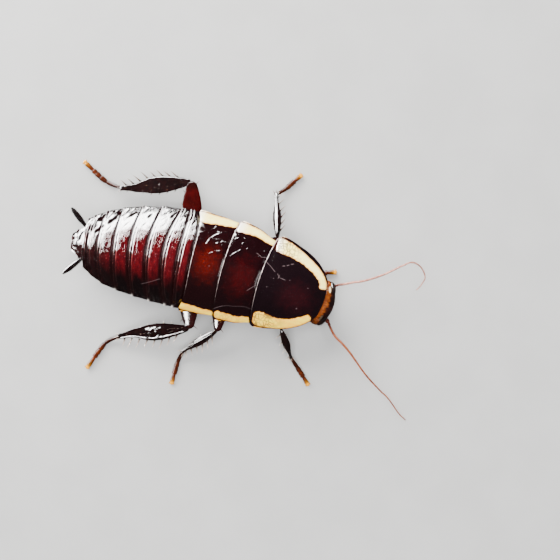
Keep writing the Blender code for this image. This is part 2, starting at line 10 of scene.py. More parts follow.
import bpy
import numpy as np
from mathutils import Matrix, Vector


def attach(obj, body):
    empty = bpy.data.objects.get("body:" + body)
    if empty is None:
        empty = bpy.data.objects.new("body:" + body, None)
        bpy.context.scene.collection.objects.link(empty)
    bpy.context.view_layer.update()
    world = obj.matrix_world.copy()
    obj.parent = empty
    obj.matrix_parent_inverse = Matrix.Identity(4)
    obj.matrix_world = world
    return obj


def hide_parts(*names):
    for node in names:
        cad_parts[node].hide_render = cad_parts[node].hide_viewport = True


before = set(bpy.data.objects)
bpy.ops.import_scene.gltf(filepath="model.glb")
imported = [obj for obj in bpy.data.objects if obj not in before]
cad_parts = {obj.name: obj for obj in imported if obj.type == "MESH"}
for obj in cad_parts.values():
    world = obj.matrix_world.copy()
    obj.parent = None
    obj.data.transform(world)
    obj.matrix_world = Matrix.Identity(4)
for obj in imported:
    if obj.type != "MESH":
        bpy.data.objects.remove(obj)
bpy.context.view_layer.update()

SHIFT = np.array([-7.481, 1.502, 0.0])
GAP = 0.3
BEND_REACH = 8.0
BEND_ANGLE = math.radians(5.8)
WIDEST_AT = 3.0
WIDEST_HALF = 6.25
TAIL_TAPER_LENGTH = 18.6
TAIL_TAPER_POWER = 2.6
SHIELD_HALF = 5.9
SHIELD_NOSE_LENGTH = 8.15
SHIELD_NOSE_POWER = 0.444
LEAN = 0.2
LEAN_FROM = -11.0
LEAN_TO = 8.0
LEAN_FADE = 2.5
METANOTUM_HIND = 0.0
MESONOTUM_HIND = 5.1
PRONOTUM_HIND = 10.2
PRONOTUM_FRONT = 17.9
METANOTUM_BOW = -0.9
METANOTUM_FLATNESS = 4.5
MESONOTUM_BOW = 0.3
PRONOTUM_BOW = 0.65
PRONOTUM_FRONT_BOW = -0.25
SEGMENT_LENGTHS = (0.75, 1.1, 2.35, 2.4, 2.4, 2.1, 1.55, 0.8)
SEGMENT_BOWS = (-0.05, 0.78, 0.53, 0.35, 0.05, 0.1, 0.0, 0.0)
TAIL_PLATE_LENGTH = 1.75
TAIL_PLATE_SHARE = 0.68
MARGIN_HEIGHT = 3.85
MARGIN_SLOPE = 0.05
SHIELD_FRONT_LIFT = 0.75
RISE_SHARE = 0.6
DOME_POWER = 0.95
EDGE_THICKNESS = 0.55
BELLY_HEIGHT = 1.9
BELLY_WAIST_LIFT = 1.25
BELLY_TAIL_LIFT = 0.5
HEAD_ALONG = 18.1
HEAD_ACROSS = -0.45
HEAD_HEIGHT = 2.75
HEAD_PITCH = math.radians(27)
CAMERA_AT = (12.06, -0.18, 90.7)
CAMERA_FIELD = math.radians(45)
CAMERA_TURN = math.atan2(0.2164, 0.9763)
SENSOR = 36
WORLD = 0.045
FAR = 9.0
LAMPS = (
    # name, place and height of its aim in mm, size in m, brightness, colour, lights, is mirrored
    ("window", (-175, 205, 150), 4, (0.36, 0.20), 26.0, (1, 0.99, 0.97), True, False),
    ("ceiling", (20, -30, 300), 4, (0.30, 0.30), 12.5, (0.97, 0.98, 1), True, False),
    ("glare_side", (-151, 224, 50), 10, (0.24, 0.19), 125.0, (1, 0.99, 0.98), False, True),
    ("glare_rear", (-264, 56, 55), 10, (0.17, 0.19), 125.0, (1, 0.99, 0.98), False, True),
)


# Shapes of the body, as in the solids.

def midline(along):
    along = np.asarray(along, float)
    radius = BEND_REACH / BEND_ANGLE
    bent = np.clip(along, -BEND_REACH, BEND_REACH)
    turn = bent / radius
    x = radius * np.sin(turn) + (along - bent) * np.cos(turn)
    y = -radius * (1 - np.cos(turn)) - (along - bent) * np.sin(turn)
    return x, y, -turn


def place(along, across, up):
    x, y, heading = midline(along)
    return np.stack(
        np.broadcast_arrays(x - across * np.sin(heading), y + across * np.cos(heading), up), -1
    )


def lean(along):
    beyond = np.maximum(np.maximum(LEAN_FROM - along, along - LEAN_TO), 0)
    return LEAN * np.clip(1 - beyond / LEAN_FADE, 0, 1)


def half_width(along):
    along = np.asarray(along, float)
    back = np.clip((WIDEST_AT - along) / TAIL_TAPER_LENGTH, 0, 0.995)
    trunk = WIDEST_HALF * np.sqrt(1 - back**TAIL_TAPER_POWER) + lean(along)
    share = (along - WIDEST_AT) / (PRONOTUM_HIND - WIDEST_AT)
    chest = WIDEST_HALF - (WIDEST_HALF - SHIELD_HALF) * share**2 + lean(along)
    ahead = np.clip((along - PRONOTUM_HIND) / SHIELD_NOSE_LENGTH, 0, 0.995)
    nose = SHIELD_HALF * (1 - ahead**2) ** SHIELD_NOSE_POWER
    return np.where(along < WIDEST_AT, trunk, np.where(along < PRONOTUM_HIND, chest, nose))


def margin_height(along):
    share = np.clip((along - PRONOTUM_HIND) / (PRONOTUM_FRONT - PRONOTUM_HIND), 0, 2)
    return MARGIN_HEIGHT + MARGIN_SLOPE * along + SHIELD_FRONT_LIFT * share**2


def rise(along):
    share = np.clip((along - PRONOTUM_HIND) / (PRONOTUM_FRONT - PRONOTUM_HIND), 0, 2)
    shield = RISE_SHARE * SHIELD_HALF * (1 - 0.9 * share**2)
    return np.where(along < PRONOTUM_HIND, RISE_SHARE * half_width(along), shield)


def top_height(along, u):
    return margin_height(along) + rise(along) * (1 - np.minimum(abs(u), 1) ** 2.1) ** DOME_POWER


def belly_height(along, u):
    back = np.maximum(0.0, -along)
    lowest = BELLY_HEIGHT + BELLY_WAIST_LIFT * np.exp(-back / 1.9)
    lowest = lowest + BELLY_TAIL_LIFT * (back / 15) ** 2
    edge = margin_height(along) - EDGE_THICKNESS
    return edge - np.maximum(edge - lowest, 0) * (1 - np.minimum(u * u, 1)) ** 0.8


def bell(distance, width):
    return np.exp(-((distance / width) ** 2))


def unit(vector):
    return vector / np.linalg.norm(vector)


def any_side(pick, axis):
    """A random direction at right angles to an axis."""
    out = np.array([pick.gauss(0, 1) for _ in range(3)])
    out -= axis * (out @ axis)
    return unit(out)


def lumps(x, y, seed, size, count=7):
    """Smooth unevenness of about unit height: waves of one size from all directions."""
    pick = random.Random(seed)
    total = 0
    for _ in range(count):
        angle = pick.uniform(0, math.tau)
        wave = math.tau / (size * pick.uniform(0.7, 1.5))
        phase = pick.uniform(0, math.tau)
        total = total + np.sin(wave * (x * math.cos(angle) + y * math.sin(angle)) + phase)
    return total / math.sqrt(count)


def eased(value):
    value = np.clip(value, 0, 1)
    return value * value * (3 - 2 * value)


def step_down(distance, height, width):
    """A short slope that drops by a height where the distance falls through a width to 0."""
    return -height * eased(1 - distance / width)


# Mesh making.

def put(name, data):
    obj = bpy.data.objects.new(name, data)
    bpy.context.scene.collection.objects.link(obj)
    return obj


def make_piece(name, points, faces, material, nodes, attributes=None):
    """A finished piece from points in millimetres of the design frame."""
    points = np.asarray(points, float).reshape(-1, 3)
    mesh = bpy.data.meshes.new(name)
    mesh.from_pydata(((points + SHIFT) * 0.001).tolist(), [], [list(f) for f in faces])
    for key, values in (attributes or {}).items():
        values = np.asarray(values, np.float32)
        if values.ndim == 1:
            layer = mesh.attributes.new(key, "FLOAT", "POINT")
            layer.data.foreach_set("value", values)
        else:
            layer = mesh.attributes.new(key, "FLOAT_VECTOR", "POINT")
            layer.data.foreach_set("vector", values.ravel())
    mesh.update()
    mesh.shade_smooth()
    obj = put(name, mesh)
    mesh.materials.append(material)
    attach(obj, "root")
    if nodes:
        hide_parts(*nodes)


def spread(count, crowd=1.0):
    """Places from -1 to 1, crowded towards the ends."""
    even = np.linspace(-1, 1, count)
    return (1 - crowd) * even + crowd * np.sin(np.pi / 2 * even)


def crowded(count):
    """Places from 0 to 1, crowded towards the ends."""
    return (spread(count, 0.9) + 1) / 2


def in_plan(along, across):
    return np.stack(np.broadcast_arrays(along, across, 0.0), -1)


def twice(field):
    """Values of a grid for both faces of a plate."""
    return np.tile(field.ravel(), 2)


def grid_normals(grid):
    across = np.gradient(grid, axis=1)
    onward = np.gradient(grid, axis=0)
    normal = np.cross(onward, across)
    return normal / (np.linalg.norm(normal, axis=-1, keepdims=True) + 1e-12)


def shell_mesh(grid, thickness, rim, up=1):
    """A closed plate with rounded rims whose outer face is the grid, and distances from its hind.

    The grid runs over rows (back to front) and columns (right to left). The faces are wound
    inwards: an open fault.
    """
    rows, columns = grid.shape[:2]
    normal = -grid_normals(grid) * up
    if normal[rows // 2, columns // 2, 2] * up < 0:
        normal = -normal
    step_c = np.linalg.norm(np.diff(grid, axis=1), axis=-1)
    from_right = np.concatenate([np.zeros((rows, 1)), np.cumsum(step_c, 1)], 1)
    from_left = from_right[:, -1:] - from_right
    step_r = np.linalg.norm(np.diff(grid, axis=0), axis=-1)
    from_hind = np.concatenate([np.zeros((1, columns)), np.cumsum(step_r, 0)], 0)
    from_front = from_hind[-1:] - from_hind
    edge = np.minimum(np.minimum(from_right, from_left), np.minimum(from_hind, from_front))
    fullness = np.sqrt(1 - (1 - np.clip(edge / rim, 0, 1)) ** 2)[..., None]
    thickness = np.asarray(thickness)
    if thickness.ndim == 2:
        thickness = thickness[..., None]
    middle = grid - normal * thickness / 2
    outer = middle + normal * fullness * thickness / 2
    inner = middle - normal * fullness * thickness / 2
    points = np.concatenate([outer.reshape(-1, 3), inner.reshape(-1, 3)])
    index = np.arange(rows * columns).reshape(rows, columns)
    under = index + rows * columns
    under[0], under[-1], under[:, 0], under[:, -1] = index[0], index[-1], index[:, 0], index[:, -1]
    faces = []
    for sheet, flip in ((index, False), (under, True)):
        a, b, c, d = sheet[:-1, :-1], sheet[:-1, 1:], sheet[1:, 1:], sheet[1:, :-1]
        order = (a, d, c, b) if flip == (up > 0) else (a, b, c, d)
        faces += np.stack(order, -1).reshape(-1, 4).tolist()
    return points, faces, from_hind


def compact(points, faces, attributes):
    """Drops points that no face uses."""
    used = np.zeros(len(points), bool)
    used[np.ravel(faces)] = True
    renumber = np.cumsum(used) - 1
    return points[used], renumber[faces].tolist(), {key: value[used] for key, value in attributes.items()}


def skin_faces(rows, sides, turned=False):
    """Faces over closed rings of points, with a fan round one more point at either end."""
    index = np.arange(rows * sides).reshape(rows, sides)
    beside = np.roll(index, -1, 1)
    order = (index[:-1], beside[:-1], beside[1:], index[1:])
    if turned:
        order = order[0], *order[:0:-1]
    faces = np.stack(order, -1).reshape(-1, 4).tolist()
    for i in range(sides):
        for tip, a, b in ((0, beside[0, i], index[0, i]), (1, index[-1, i], beside[-1, i])):
            pair = (b, a) if turned else (a, b)
            faces.append([rows * sides + tip, *map(int, pair)])
    return faces


def tube_mesh(sections):
    """A closed tube through rows of sections, each an array of points."""
    rings = np.asarray(sections)
    points = np.concatenate([rings.reshape(-1, 3), [rings[0].mean(0), rings[-1].mean(0)]])
    return points, skin_faces(*rings.shape[:2])


class Bundle:
    """Meshes gathered into one piece."""

    def __init__(self):
        self.points, self.faces, self.marks, self.count = [], [], [], 0

    def add(self, points, faces, mark=0.0):
        points = np.asarray(points).reshape(-1, 3)
        self.points.append(points)
        self.faces += [[i + self.count for i in face_and_shade] for face_and_shade in faces]
        self.marks.append(np.broadcast_to(mark, (len(points),)).astype(float))
        self.count += len(points)

    def piece(self, name, material, nodes):
        marks = {"mark": np.concatenate(self.marks)}
        return make_piece(name, np.concatenate(self.points), self.faces, material, nodes, marks)


def smooth_path(points, per_span):
    points = [np.asarray(p, float) for p in points]
    ends = [2 * points[0] - points[1], *points, 2 * points[-1] - points[-2]]
    path = []
    for a, b, c, d in zip(ends, ends[1:], ends[2:], ends[3:]):
        for step in range(per_span):
            t = step / per_span
            path.append(
                0.5 * (2 * b + (c - a) * t + (2 * a - 5 * b + 4 * c - d) * t**2
                       + (3 * b - a - 3 * c + d) * t**3)
            )
    return np.array([*path, points[-1]])


def resampled(path, shares):
    """Points of a path at shares of its length."""
    steps = np.concatenate([[0], np.cumsum(np.linalg.norm(np.diff(path, axis=0), axis=1))])
    return np.stack([np.interp(np.asarray(shares) * steps[-1], steps, path[:, k]) for k in range(3)], -1)


def along_frames(path):
    """For each point of a path: its direction, and a level and an upright side direction."""
    onward = np.gradient(path, axis=0)
    onward /= np.linalg.norm(onward, axis=1, keepdims=True)
    level = np.cross([0, 0, 1.0], onward)
    level /= np.linalg.norm(level, axis=1, keepdims=True)
    return onward, level, np.cross(onward, level)


def round_tube(path, radii, sides, flat):
    onward, level, upright = along_frames(path)
    angle = np.linspace(0, math.tau, sides, endpoint=False)[None, :, None]
    ring = level[:, None] * np.cos(angle) + flat * upright[:, None] * np.sin(angle)
    return tube_mesh(path[:, None] + ring * np.asarray(radii)[:, None, None])


def spine_mesh(base, direction, length, radius, bend=None, sides=7, rows=7, collar=True):
    """A tapered spine on a small collar, bending a little towards a direction."""
    direction = unit(np.asarray(direction, float))
    bend = np.zeros(3) if bend is None else np.asarray(bend, float)
    side = unit(np.cross(direction, [0.3, 0.5, 0.8]))
    other = np.cross(direction, side)
    t = np.linspace(0, 1, rows)
    path = np.asarray(base)[None] + direction[None] * (t * length)[:, None]
    path = path + bend[None] * (t**2 * length)[:, None]
    radii = radius * (1 - t) ** 0.8 + 0.004
    if collar:
        radii[0] *= 1.5
        radii[1] *= 1.15
    angle = np.linspace(0, math.tau, sides, endpoint=False)
    ring = side[None] * np.cos(angle)[:, None] + other[None] * np.sin(angle)[:, None]
    return tube_mesh(path[:, None] + ring[None] * radii[:, None, None])


def hair_mesh(base, direction, length, radius):
    return spine_mesh(base, direction, length, radius, sides=3, rows=3, collar=False)


# Materials.

def tree(name):
    material = bpy.data.materials.new(name)
    material.use_nodes = True
    return material, material.node_tree, material.node_tree.nodes["Principled BSDF"]


def feed(made, inputs):
    """Gives a node's inputs their values, or links them to other nodes' outputs."""
    for key, value in inputs.items():
        socket = made.inputs[key]
        if isinstance(value, bpy.types.NodeSocket):
            made.id_data.links.new(value, socket)
        else:
            socket.default_value = (*value, 1) if socket.type == "RGBA" else value


def node(net, kind, inputs=None, **settings):
    made = net.nodes.new("ShaderNode" + kind)
    for key, value in settings.items():
        setattr(made, key, value)
    feed(made, inputs or {})
    return made


def attribute(net, name, output="Fac"):
    return node(net, "Attribute", attribute_name=name).outputs[output]


def noise(net, vector, scale, detail, roughness=0.55, distortion=0.0):
    return node(net, "TexNoise", {
        "Vector": vector, "Scale": scale, "Detail": detail, "Roughness": roughness, "Distortion": distortion,
    }).outputs["Fac"]


def maths(net, operation, a, b=0.0, c=0.0, clamp=False):
    return node(net, "Math", {0: a, 1: b, 2: c}, operation=operation, use_clamp=clamp).outputs[0]


def times(net, a, b, clamp=False):
    return maths(net, "MULTIPLY", a, b, clamp=clamp)


def times_plus(net, a, b, added):
    return maths(net, "MULTIPLY_ADD", a, b, added)


def span(net, value, low, high, to_low=0.0, to_high=1.0):
    made = node(
        net, "MapRange",
        {"Value": value, "From Min": low, "From Max": high, "To Min": to_low, "To Max": to_high},
        interpolation_type="SMOOTHSTEP",
    )
    return made.outputs["Result"]


def mixed(net, share, first, second):
    return node(net, "Mix", {0: share, 6: first, 7: second}, data_type="RGBA").outputs[2]


def bumped(net, shader, height, strength, distance):
    made = node(net, "Bump", {"Height": height, "Strength": strength, "Distance": distance})
    feed(shader, {"Normal": made.outputs[0]})


def stretched(net, vector, scale):
    return node(net, "VectorMath", {0: vector, 1: scale}, operation="MULTIPLY").outputs[0]


def texture(net, body, waves, detail, roughness, distortion=0.0):
    """Noise with its own number of waves to the millimetre in each direction."""
    waves = waves if isinstance(waves, tuple) else (waves,) * 3
    return noise(net, stretched(net, body, waves), 1.0, detail, roughness, distortion)


def coordinates(net):
    """Object coordinates in millimetres."""
    return stretched(net, node(net, "TexCoord").outputs["Object"], (1000.0,) * 3)


def dulled(net, shader, coat):
    """Lets the mesh's shine attribute take gloss away, to follow the photo's light."""
    shine = attribute(net, "shine")
    level = shader.inputs["Specular IOR Level"].default_value
    feed(shader, {"Specular IOR Level": times(net, shine, level), "Coat Weight": times(net, shine, coat)})


def shell_surface(net, shader, body, rough_low, rough_high, strength):
    """Gloss and fine relief of a shell with wear: pits, fine cross wrinkles and scratches."""
    pits = texture(net, body, 9.0, 4.0, 0.6)
    wrinkles = texture(net, body, (11.0, 2.2, 4.0), 3.0, 0.6, 0.4)
    swells = texture(net, body, 1.6, 2.0, 0.5)
    scratches = texture(net, body, (2.0, 24.0, 8.0), 2.0, 0.5, 0.8)
    height = times_plus(net, wrinkles, 0.7, times(net, pits, 0.55))
    height = times_plus(net, swells, 0.9, height)
    height = times_plus(net, scratches, 0.25, height)
    bumped(net, shader, height, strength, 0.00009)
    rough = span(net, pits, 0.3, 0.75, rough_low, rough_high)
    feed(shader, {"Roughness": rough, "Coat Weight": 0.35, "Coat Roughness": 0.12})


def plate_material(name, glow, glow_at, glow_size, dark):
    """A thorax plate: dark centre with a red glow, cream side bands painted paler on the left as light and
    deeper tan on the right as shade, with painted highlights at their hind left ends, and a painted
    highlight along the hind rim.
    """
    material, net, shader = tree(name)
    body = attribute(net, "body", "Vector")
    shell_surface(net, shader, body, 0.06, 0.15, strength=0.20)
    feed(shader, {"Coat Roughness": 0.04})
    dulled(net, shader, 0.35)
    offset = node(net, "VectorMath", {0: body, 1: glow_at}, operation="SUBTRACT").outputs[0]
    offset = stretched(net, offset, tuple(1 / n for n in glow_size))
    distance = node(net, "VectorMath", {0: offset}, operation="LENGTH").outputs["Value"]
    mottle = texture(net, body, 1.1, 4.0, 0.6)
    reach = times_plus(net, mottle, 1.6, distance)
    warm = span(net, reach, 2.15, 0.75)
    colour = mixed(net, warm, dark, glow)
    fine = texture(net, body, 4.0, 4.0, 0.65)
    colour = mixed(net, span(net, fine, 0.35, 0.8, 0.0, 0.7), colour, dark)
    ember = texture(net, body, (2.3, 1.5, 2.0), 3.0, 0.6, 0.5)
    ember = times(net, span(net, ember, 0.55, 0.75), warm)
    colour = mixed(net, times(net, ember, 0.35), colour, tuple(2.6 * n for n in glow))
    # Pale scratches, and on the middle plate a painted highlight along the right wing pad's crease.
    scratch_and_highlight = attribute(net, "scratch_and_highlight")
    colour = mixed(net, times(net, scratch_and_highlight, 0.17), colour, (0.42, 0.30, 0.31))
    band = attribute(net, "band")
    ragged = texture(net, body, 3.2, 5.0, 0.65)
    band = maths(net, "ADD", band, times_plus(net, ragged, 0.22, -0.11))
    in_band = span(net, band, -0.035, 0.045)
    near_band = span(net, band, -0.16, 0.03)
    colour = mixed(net, times(net, near_band, 0.85), colour, (0.075, 0.012, 0.003))
    parts = node(net, "SeparateXYZ", {0: body})
    shade = texture(net, body, (0.9, 2.0, 1.0), 3.0, 0.5)
    # The cream is painted paler on the left and deeper tan on the right: painted light on the left bands,
    # painted shade on the right ones.
    lit_cream = mixed(net, span(net, shade, 0.3, 0.7), (1.0, 0.88, 0.30), (1.0, 0.80, 0.19))
    shaded_cream = mixed(net, span(net, shade, 0.3, 0.7), (1.0, 0.70, 0.05), (0.95, 0.52, 0.03))
    cream = mixed(net, span(net, parts.outputs["Y"], 1.0, -1.0), lit_cream, shaded_cream)
    edge_tone = times(net, span(net, band, 0.26, 0.04), 0.6)
    cream = mixed(net, edge_tone, cream, (0.72, 0.24, 0.03))
    # Whitish patches near the hind end of the left bands: painted highlights.
    cream = mixed(net, times(net, attribute(net, "painted_glare"), 0.8), cream, (1.0, 0.95, 0.86))
    cells = node(
        net, "TexVoronoi",
        {"Vector": stretched(net, body, (2.1, 2.1, 2.1)), "Scale": 1.0, "Randomness": 1.0},
        feature="DISTANCE_TO_EDGE",
    ).outputs["Distance"]
    netted = attribute(net, "netted")
    threads = times(net, span(net, cells, 0.15, 0.03), netted)
    cream = mixed(net, times(net, threads, 0.85), cream, (0.09, 0.05, 0.02))
    specks = texture(net, body, 11.0, 2.0, 0.5)
    share = times_plus(net, netted, 0.7, 0.16)
    specks = times(net, span(net, specks, 0.54, 0.68), share)
    cream = mixed(net, specks, cream, (0.20, 0.10, 0.03))
    colour = mixed(net, in_band, colour, cream)
    hind = attribute(net, "hind")
    # A pale line along the hind edge, painted where the photo has a highlight.
    rim = maths(net, "ABSOLUTE", maths(net, "ADD", hind, -0.085))
    rim = times(net, span(net, rim, 0.035, 0.020), attribute(net, "outer"))
    # Patchy noise that breaks up the painted highlight along the rim.
    painted_glare = texture(net, body, (1.0, 1.3, 1.0), 4.0, 0.7)
    rim = times(net, rim, span(net, painted_glare, 0.35, 0.62, 0.12, 0.75))
    rim = times(net, rim, span(net, parts.outputs["Y"], -5.2, 3.0, 0.0, 1.0))
    colour = mixed(net, rim, colour, (1.0, 0.80, 0.76))
    feed(shader, {"Base Color": colour})
    return material


def abdomen_material():
    """The abdomen's rings: deep red on the back, near black at the sides and the tail."""
    material, net, shader = tree("shell-abdomen")
    body = attribute(net, "body", "Vector")
    pits = texture(net, body, 7.0, 4.0, 0.6)
    along_streaks = texture(net, body, (1.5, 9.0, 4.0), 4.0, 0.6, 0.6)
    across_streaks = texture(net, body, (8.0, 1.0, 4.0), 3.0, 0.6, 0.4)
    height = times_plus(net, along_streaks, 0.35, times(net, pits, 0.22))
    height = times_plus(net, across_streaks, 1.1, height)
    bumped(net, shader, height, 0.45, 0.00010)
    feed(shader, {"Roughness": span(net, pits, 0.3, 0.75, 0.06, 0.15), "Specular IOR Level": 0.6})
    feed(shader, {"Coat Roughness": 0.04})
    dulled(net, shader, 0.3)
    parts = node(net, "SeparateXYZ", {0: body})
    across = attribute(net, "side")
    mottle = texture(net, body, 0.9, 4.0, 0.6)
    side = times_plus(net, mottle, 0.5, maths(net, "ABSOLUTE", maths(net, "ADD", across, -0.04)))
    dark_side = span(net, side, 0.56, 0.98)
    fine = texture(net, body, (2.4, 1.0, 1.0), 2.0, 0.5)
    red = mixed(net, span(net, fine, 0.35, 0.7), (0.032, 0.0010, 0.0022), (0.058, 0.0022, 0.0036))
    black = (0.0026, 0.0010, 0.0012)
    colour = mixed(net, dark_side, red, black)
    tail = span(net, times_plus(net, mottle, 2.5, parts.outputs["X"]), -6.5, -11.5)
    colour = mixed(net, times(net, tail, 0.92), colour, (0.007, 0.0020, 0.0022))
    # Painted shade: the colour goes black where the shine is taken away, in the gaps of the glare.
    colour = mixed(net, span(net, attribute(net, "shine"), 0.9, 0.3), colour, black)
    hind = attribute(net, "hind")
    # Painted shade: the strip between the ring's hind edge and the ridge ahead of it is darkened.
    groove = times(net, span(net, hind, 0.40, 0.30), 0.9)
    colour = mixed(net, groove, colour, (0.0050, 0.0012, 0.0014))
    # Painted shade: the front of each ring is darkened where it goes under the ring ahead.
    tucked = span(net, attribute(net, "tucked"), 0.60, 0.30)
    colour = mixed(net, times(net, tucked, 0.9), colour, (0.0050, 0.0012, 0.0014))
    specks = texture(net, body, 6.5, 1.0, 0.4)
    specks = times(net, span(net, specks, 0.70, 0.76), span(net, side, 0.95, 0.6))
    colour = mixed(net, times(net, specks, 0.25), colour, (0.36, 0.12, 0.13))
    # Pale lines along the ring's two ridges, painted where the photo has highlights.
    rims = maths(net, "MAXIMUM", span(net, hind, 0.12, 0.05), times(net, span(
        net, maths(net, "ABSOLUTE", maths(net, "ADD", hind, -0.45)), 0.07, 0.02), 0.8))
    rims = times(net, rims, attribute(net, "outer"))
    rims = times(net, rims, span(net, across, -0.45, 0.30, 0.03, 0.6))
    rim_tone = mixed(net, span(net, across, 0.1, 0.6), (0.34, 0.13, 0.12), (0.85, 0.80, 0.80))
    colour = mixed(net, rims, colour, rim_tone)
    colour = mixed(net, times(net, attribute(net, "scratch_and_highlight"), 0.13), colour, (0.42, 0.30, 0.31))
    # Painted glints: small pale spots at the hind corners of the rings' right side.
    colour = mixed(net, times(net, attribute(net, "corner"), 0.95), colour, (1.0, 0.92, 0.84))
    feed(shader, {"Base Color": colour})
    return material


def horn_material(name, low, high, dark, gloss=(0.12, 0.26), strength=0.3, mark=None,
                  deep=(0.006, 0.002, 0.002)):
    """A plain shell surface of mixed tones; marks on the mesh bring in a pale or a dark tone."""
    material, net, shader = tree(name)
    body = coordinates(net)
    shell_surface(net, shader, body, gloss[0], gloss[1], strength)
    tone = texture(net, body, 1.5, 4.0, 0.6)
    colour = mixed(net, span(net, tone, 0.3, 0.7), low, high)
    patches = texture(net, body, 0.6, 2.0, 0.5)
    colour = mixed(net, span(net, patches, 0.35, 0.7, 0.0, 0.6), colour, dark)
    if mark:
        signed = attribute(net, "mark")
        colour = mixed(net, times(net, signed, 1.0, clamp=True), colour, mark)
        colour = mixed(net, times(net, signed, -1.0, clamp=True), colour, deep)
    feed(shader, {"Base Color": colour})
    return material


def dull(material, level):
    """Takes the coat off a material and sets how strongly it mirrors, to follow the photo."""
    shader = material.node_tree.nodes["Principled BSDF"]
    feed(shader, {"Specular IOR Level": level, "Coat Weight": 0.0})


def head_material():
    """Amber crown, dark front of the head and painted shade at the crown's right end, pale spots beside the
    feelers with the right one faded by painted shade, and tawny mouthparts.
    """
    material, net, shader = tree("shell-head")
    body = coordinates(net)
    shell_surface(net, shader, body, 0.12, 0.26, 0.25)
    tone = texture(net, body, 1.8, 4.0, 0.6)
    streaks = attribute(net, "streaks")
    crown = mixed(net, span(net, tone, 0.3, 0.7), (0.125, 0.024, 0.003), (0.24, 0.058, 0.007))
    crown = mixed(net, times(net, streaks, 0.75), crown, (0.045, 0.008, 0.003))
    face_and_shade = mixed(net, span(net, tone, 0.4, 0.7), (0.006, 0.002, 0.002), (0.022, 0.005, 0.003))
    colour = mixed(net, attribute(net, "face_and_shade"), crown, face_and_shade)
    colour = mixed(net, attribute(net, "spot"), colour, (0.80, 0.62, 0.36))
    colour = mixed(net, attribute(net, "mouth"), colour, (0.22, 0.06, 0.012))
    feed(shader, {"Base Color": colour})
    return material


def eye_material():
    """A faceted black eye."""
    material, net, shader = tree("eye-facets")
    facets = node(
        net, "TexVoronoi",
        {"Vector": coordinates(net), "Scale": 16.0, "Randomness": 0.25}, feature="F1",
    ).outputs["Distance"]
    bumped(net, shader, times(net, facets, -1.0), 0.6, 0.00003)
    tone = noise(net, coordinates(net), 1.2, 3.0)
    colour = mixed(net, span(net, tone, 0.35, 0.7), (0.003, 0.0022, 0.0022), (0.014, 0.006, 0.005))
    feed(shader, {"Base Color": colour, "Roughness": 0.28, "Coat Weight": 0.2, "Coat Roughness": 0.15})
    return material


# Plates of the back.

BANDS = {
    # plate: (side, length share, inner edge from the rim at points, dark rim at points)
    "pronotum": (
        (1, None, (2.0, 2.0, 1.85, 1.7, 1.5, 1.2, 1.05), (0.06, 0.22, 0.42, 0.55, 0.45, 0.28, 0.10)),
        (-1, None, (1.95, 2.0, 1.6, 1.36, 1.25, 1.15, 0.95), (0.09, 0.07, 0.07, 0.08, 0.09, 0.10, 0.12)),
    ),
    "mesonotum": (
        (1, 0.985, (1.4, 1.4, 1.25, 1.2, 1.15, 1.1, 1.05), (0.04, 0.05, 0.10, 0.13, 0.13, 0.13, 0.13)),
        (-1, 0.985, (1.05, 1.1, 1.08, 1.0, 0.98, 0.98, 0.95), (0.09,) * 7),
    ),
    "metanotum": (
        (1, 0.985, (1.45, 1.45, 1.4, 1.3, 1.2, 1.1, 1.0), (0.03, 0.04, 0.06, 0.10, 0.11, 0.11, 0.11)),
        (-1, 0.985, (0.95, 1.0, 0.95, 0.88, 0.85, 0.85, 0.85), (0.08,) * 7),
    ),
}


RIGHT_CORNER = 0.42
CORNERS_FROM = 6.1
PLATE_COLUMNS = 230
PAD_SIZE = {"mesonotum": 1.0, "metanotum": 0.55}


def bowed(corner, bow, flatness=2.0, point=0.0):
    return lambda u: corner - bow * (1 - abs(u) ** flatness) - point * abs(u) ** 14


def rounded_corners(edge, width, left):
    """A hind edge that curves forward where it meets the sides."""
    def shaped(u):
        radius = np.where(u > 0, left, RIGHT_CORNER)
        past = np.clip((abs(u) * width - (width - radius)) / radius, 0, 1)
        return edge(u) + radius * (1 - np.sqrt(1 - past**2 * 0.98))
    return shaped


def pinch(name, along, u):
    """How much narrower the middle thorax plate is at the front of its left side."""
    return 0.5 * eased((along - 7.0) / 3.0) * (u > 0) * (name == "mesonotum")


def plate_grid(hind_edge, front_edge, rows, columns, lift, relief, widen):
    """Outer face of a plate, from hind edge to front edge, with its body coordinates."""
    u = spread(columns, 0.85)[None, :]
    share = crowded(rows)[:, None]
    along = hind_edge(u) + share * (front_edge(u) - hind_edge(u))
    wide = half_width(along) + widen(share, along, u)
    across = u * wide - lean(along)
    slope = np.gradient(wide[:, 0], along[:, 0])
    margin = (1 - abs(u)) * wide / np.sqrt(1 + slope[:, None] ** 2)
    up = top_height(along, u) + lift(share, u) + relief(along, across, u, share, margin)
    grid = place(along, across, up)
    body = in_plan(along, across)
    return grid, body, np.broadcast_to(u, along.shape), np.broadcast_to(share, along.shape), margin


def plate_outline(hind, front, side, nose):
    """The edge of a plate in plan from its hind corner forward, and lengths along it."""
    along = np.linspace(hind, front, 300)
    edge = np.stack([along, side * half_width(along) - lean(along)], -1)
    if nose:
        across = np.linspace(edge[-1, 1], 0, 60)[1:]
        ahead = front + nose * (1 - (across / edge[-1, 1]) ** 2)
        edge = np.concatenate([edge, np.stack([ahead, across], -1)])
    steps = np.linalg.norm(np.diff(edge, axis=0), axis=1)
    return edge, np.concatenate([[0], np.cumsum(steps)])


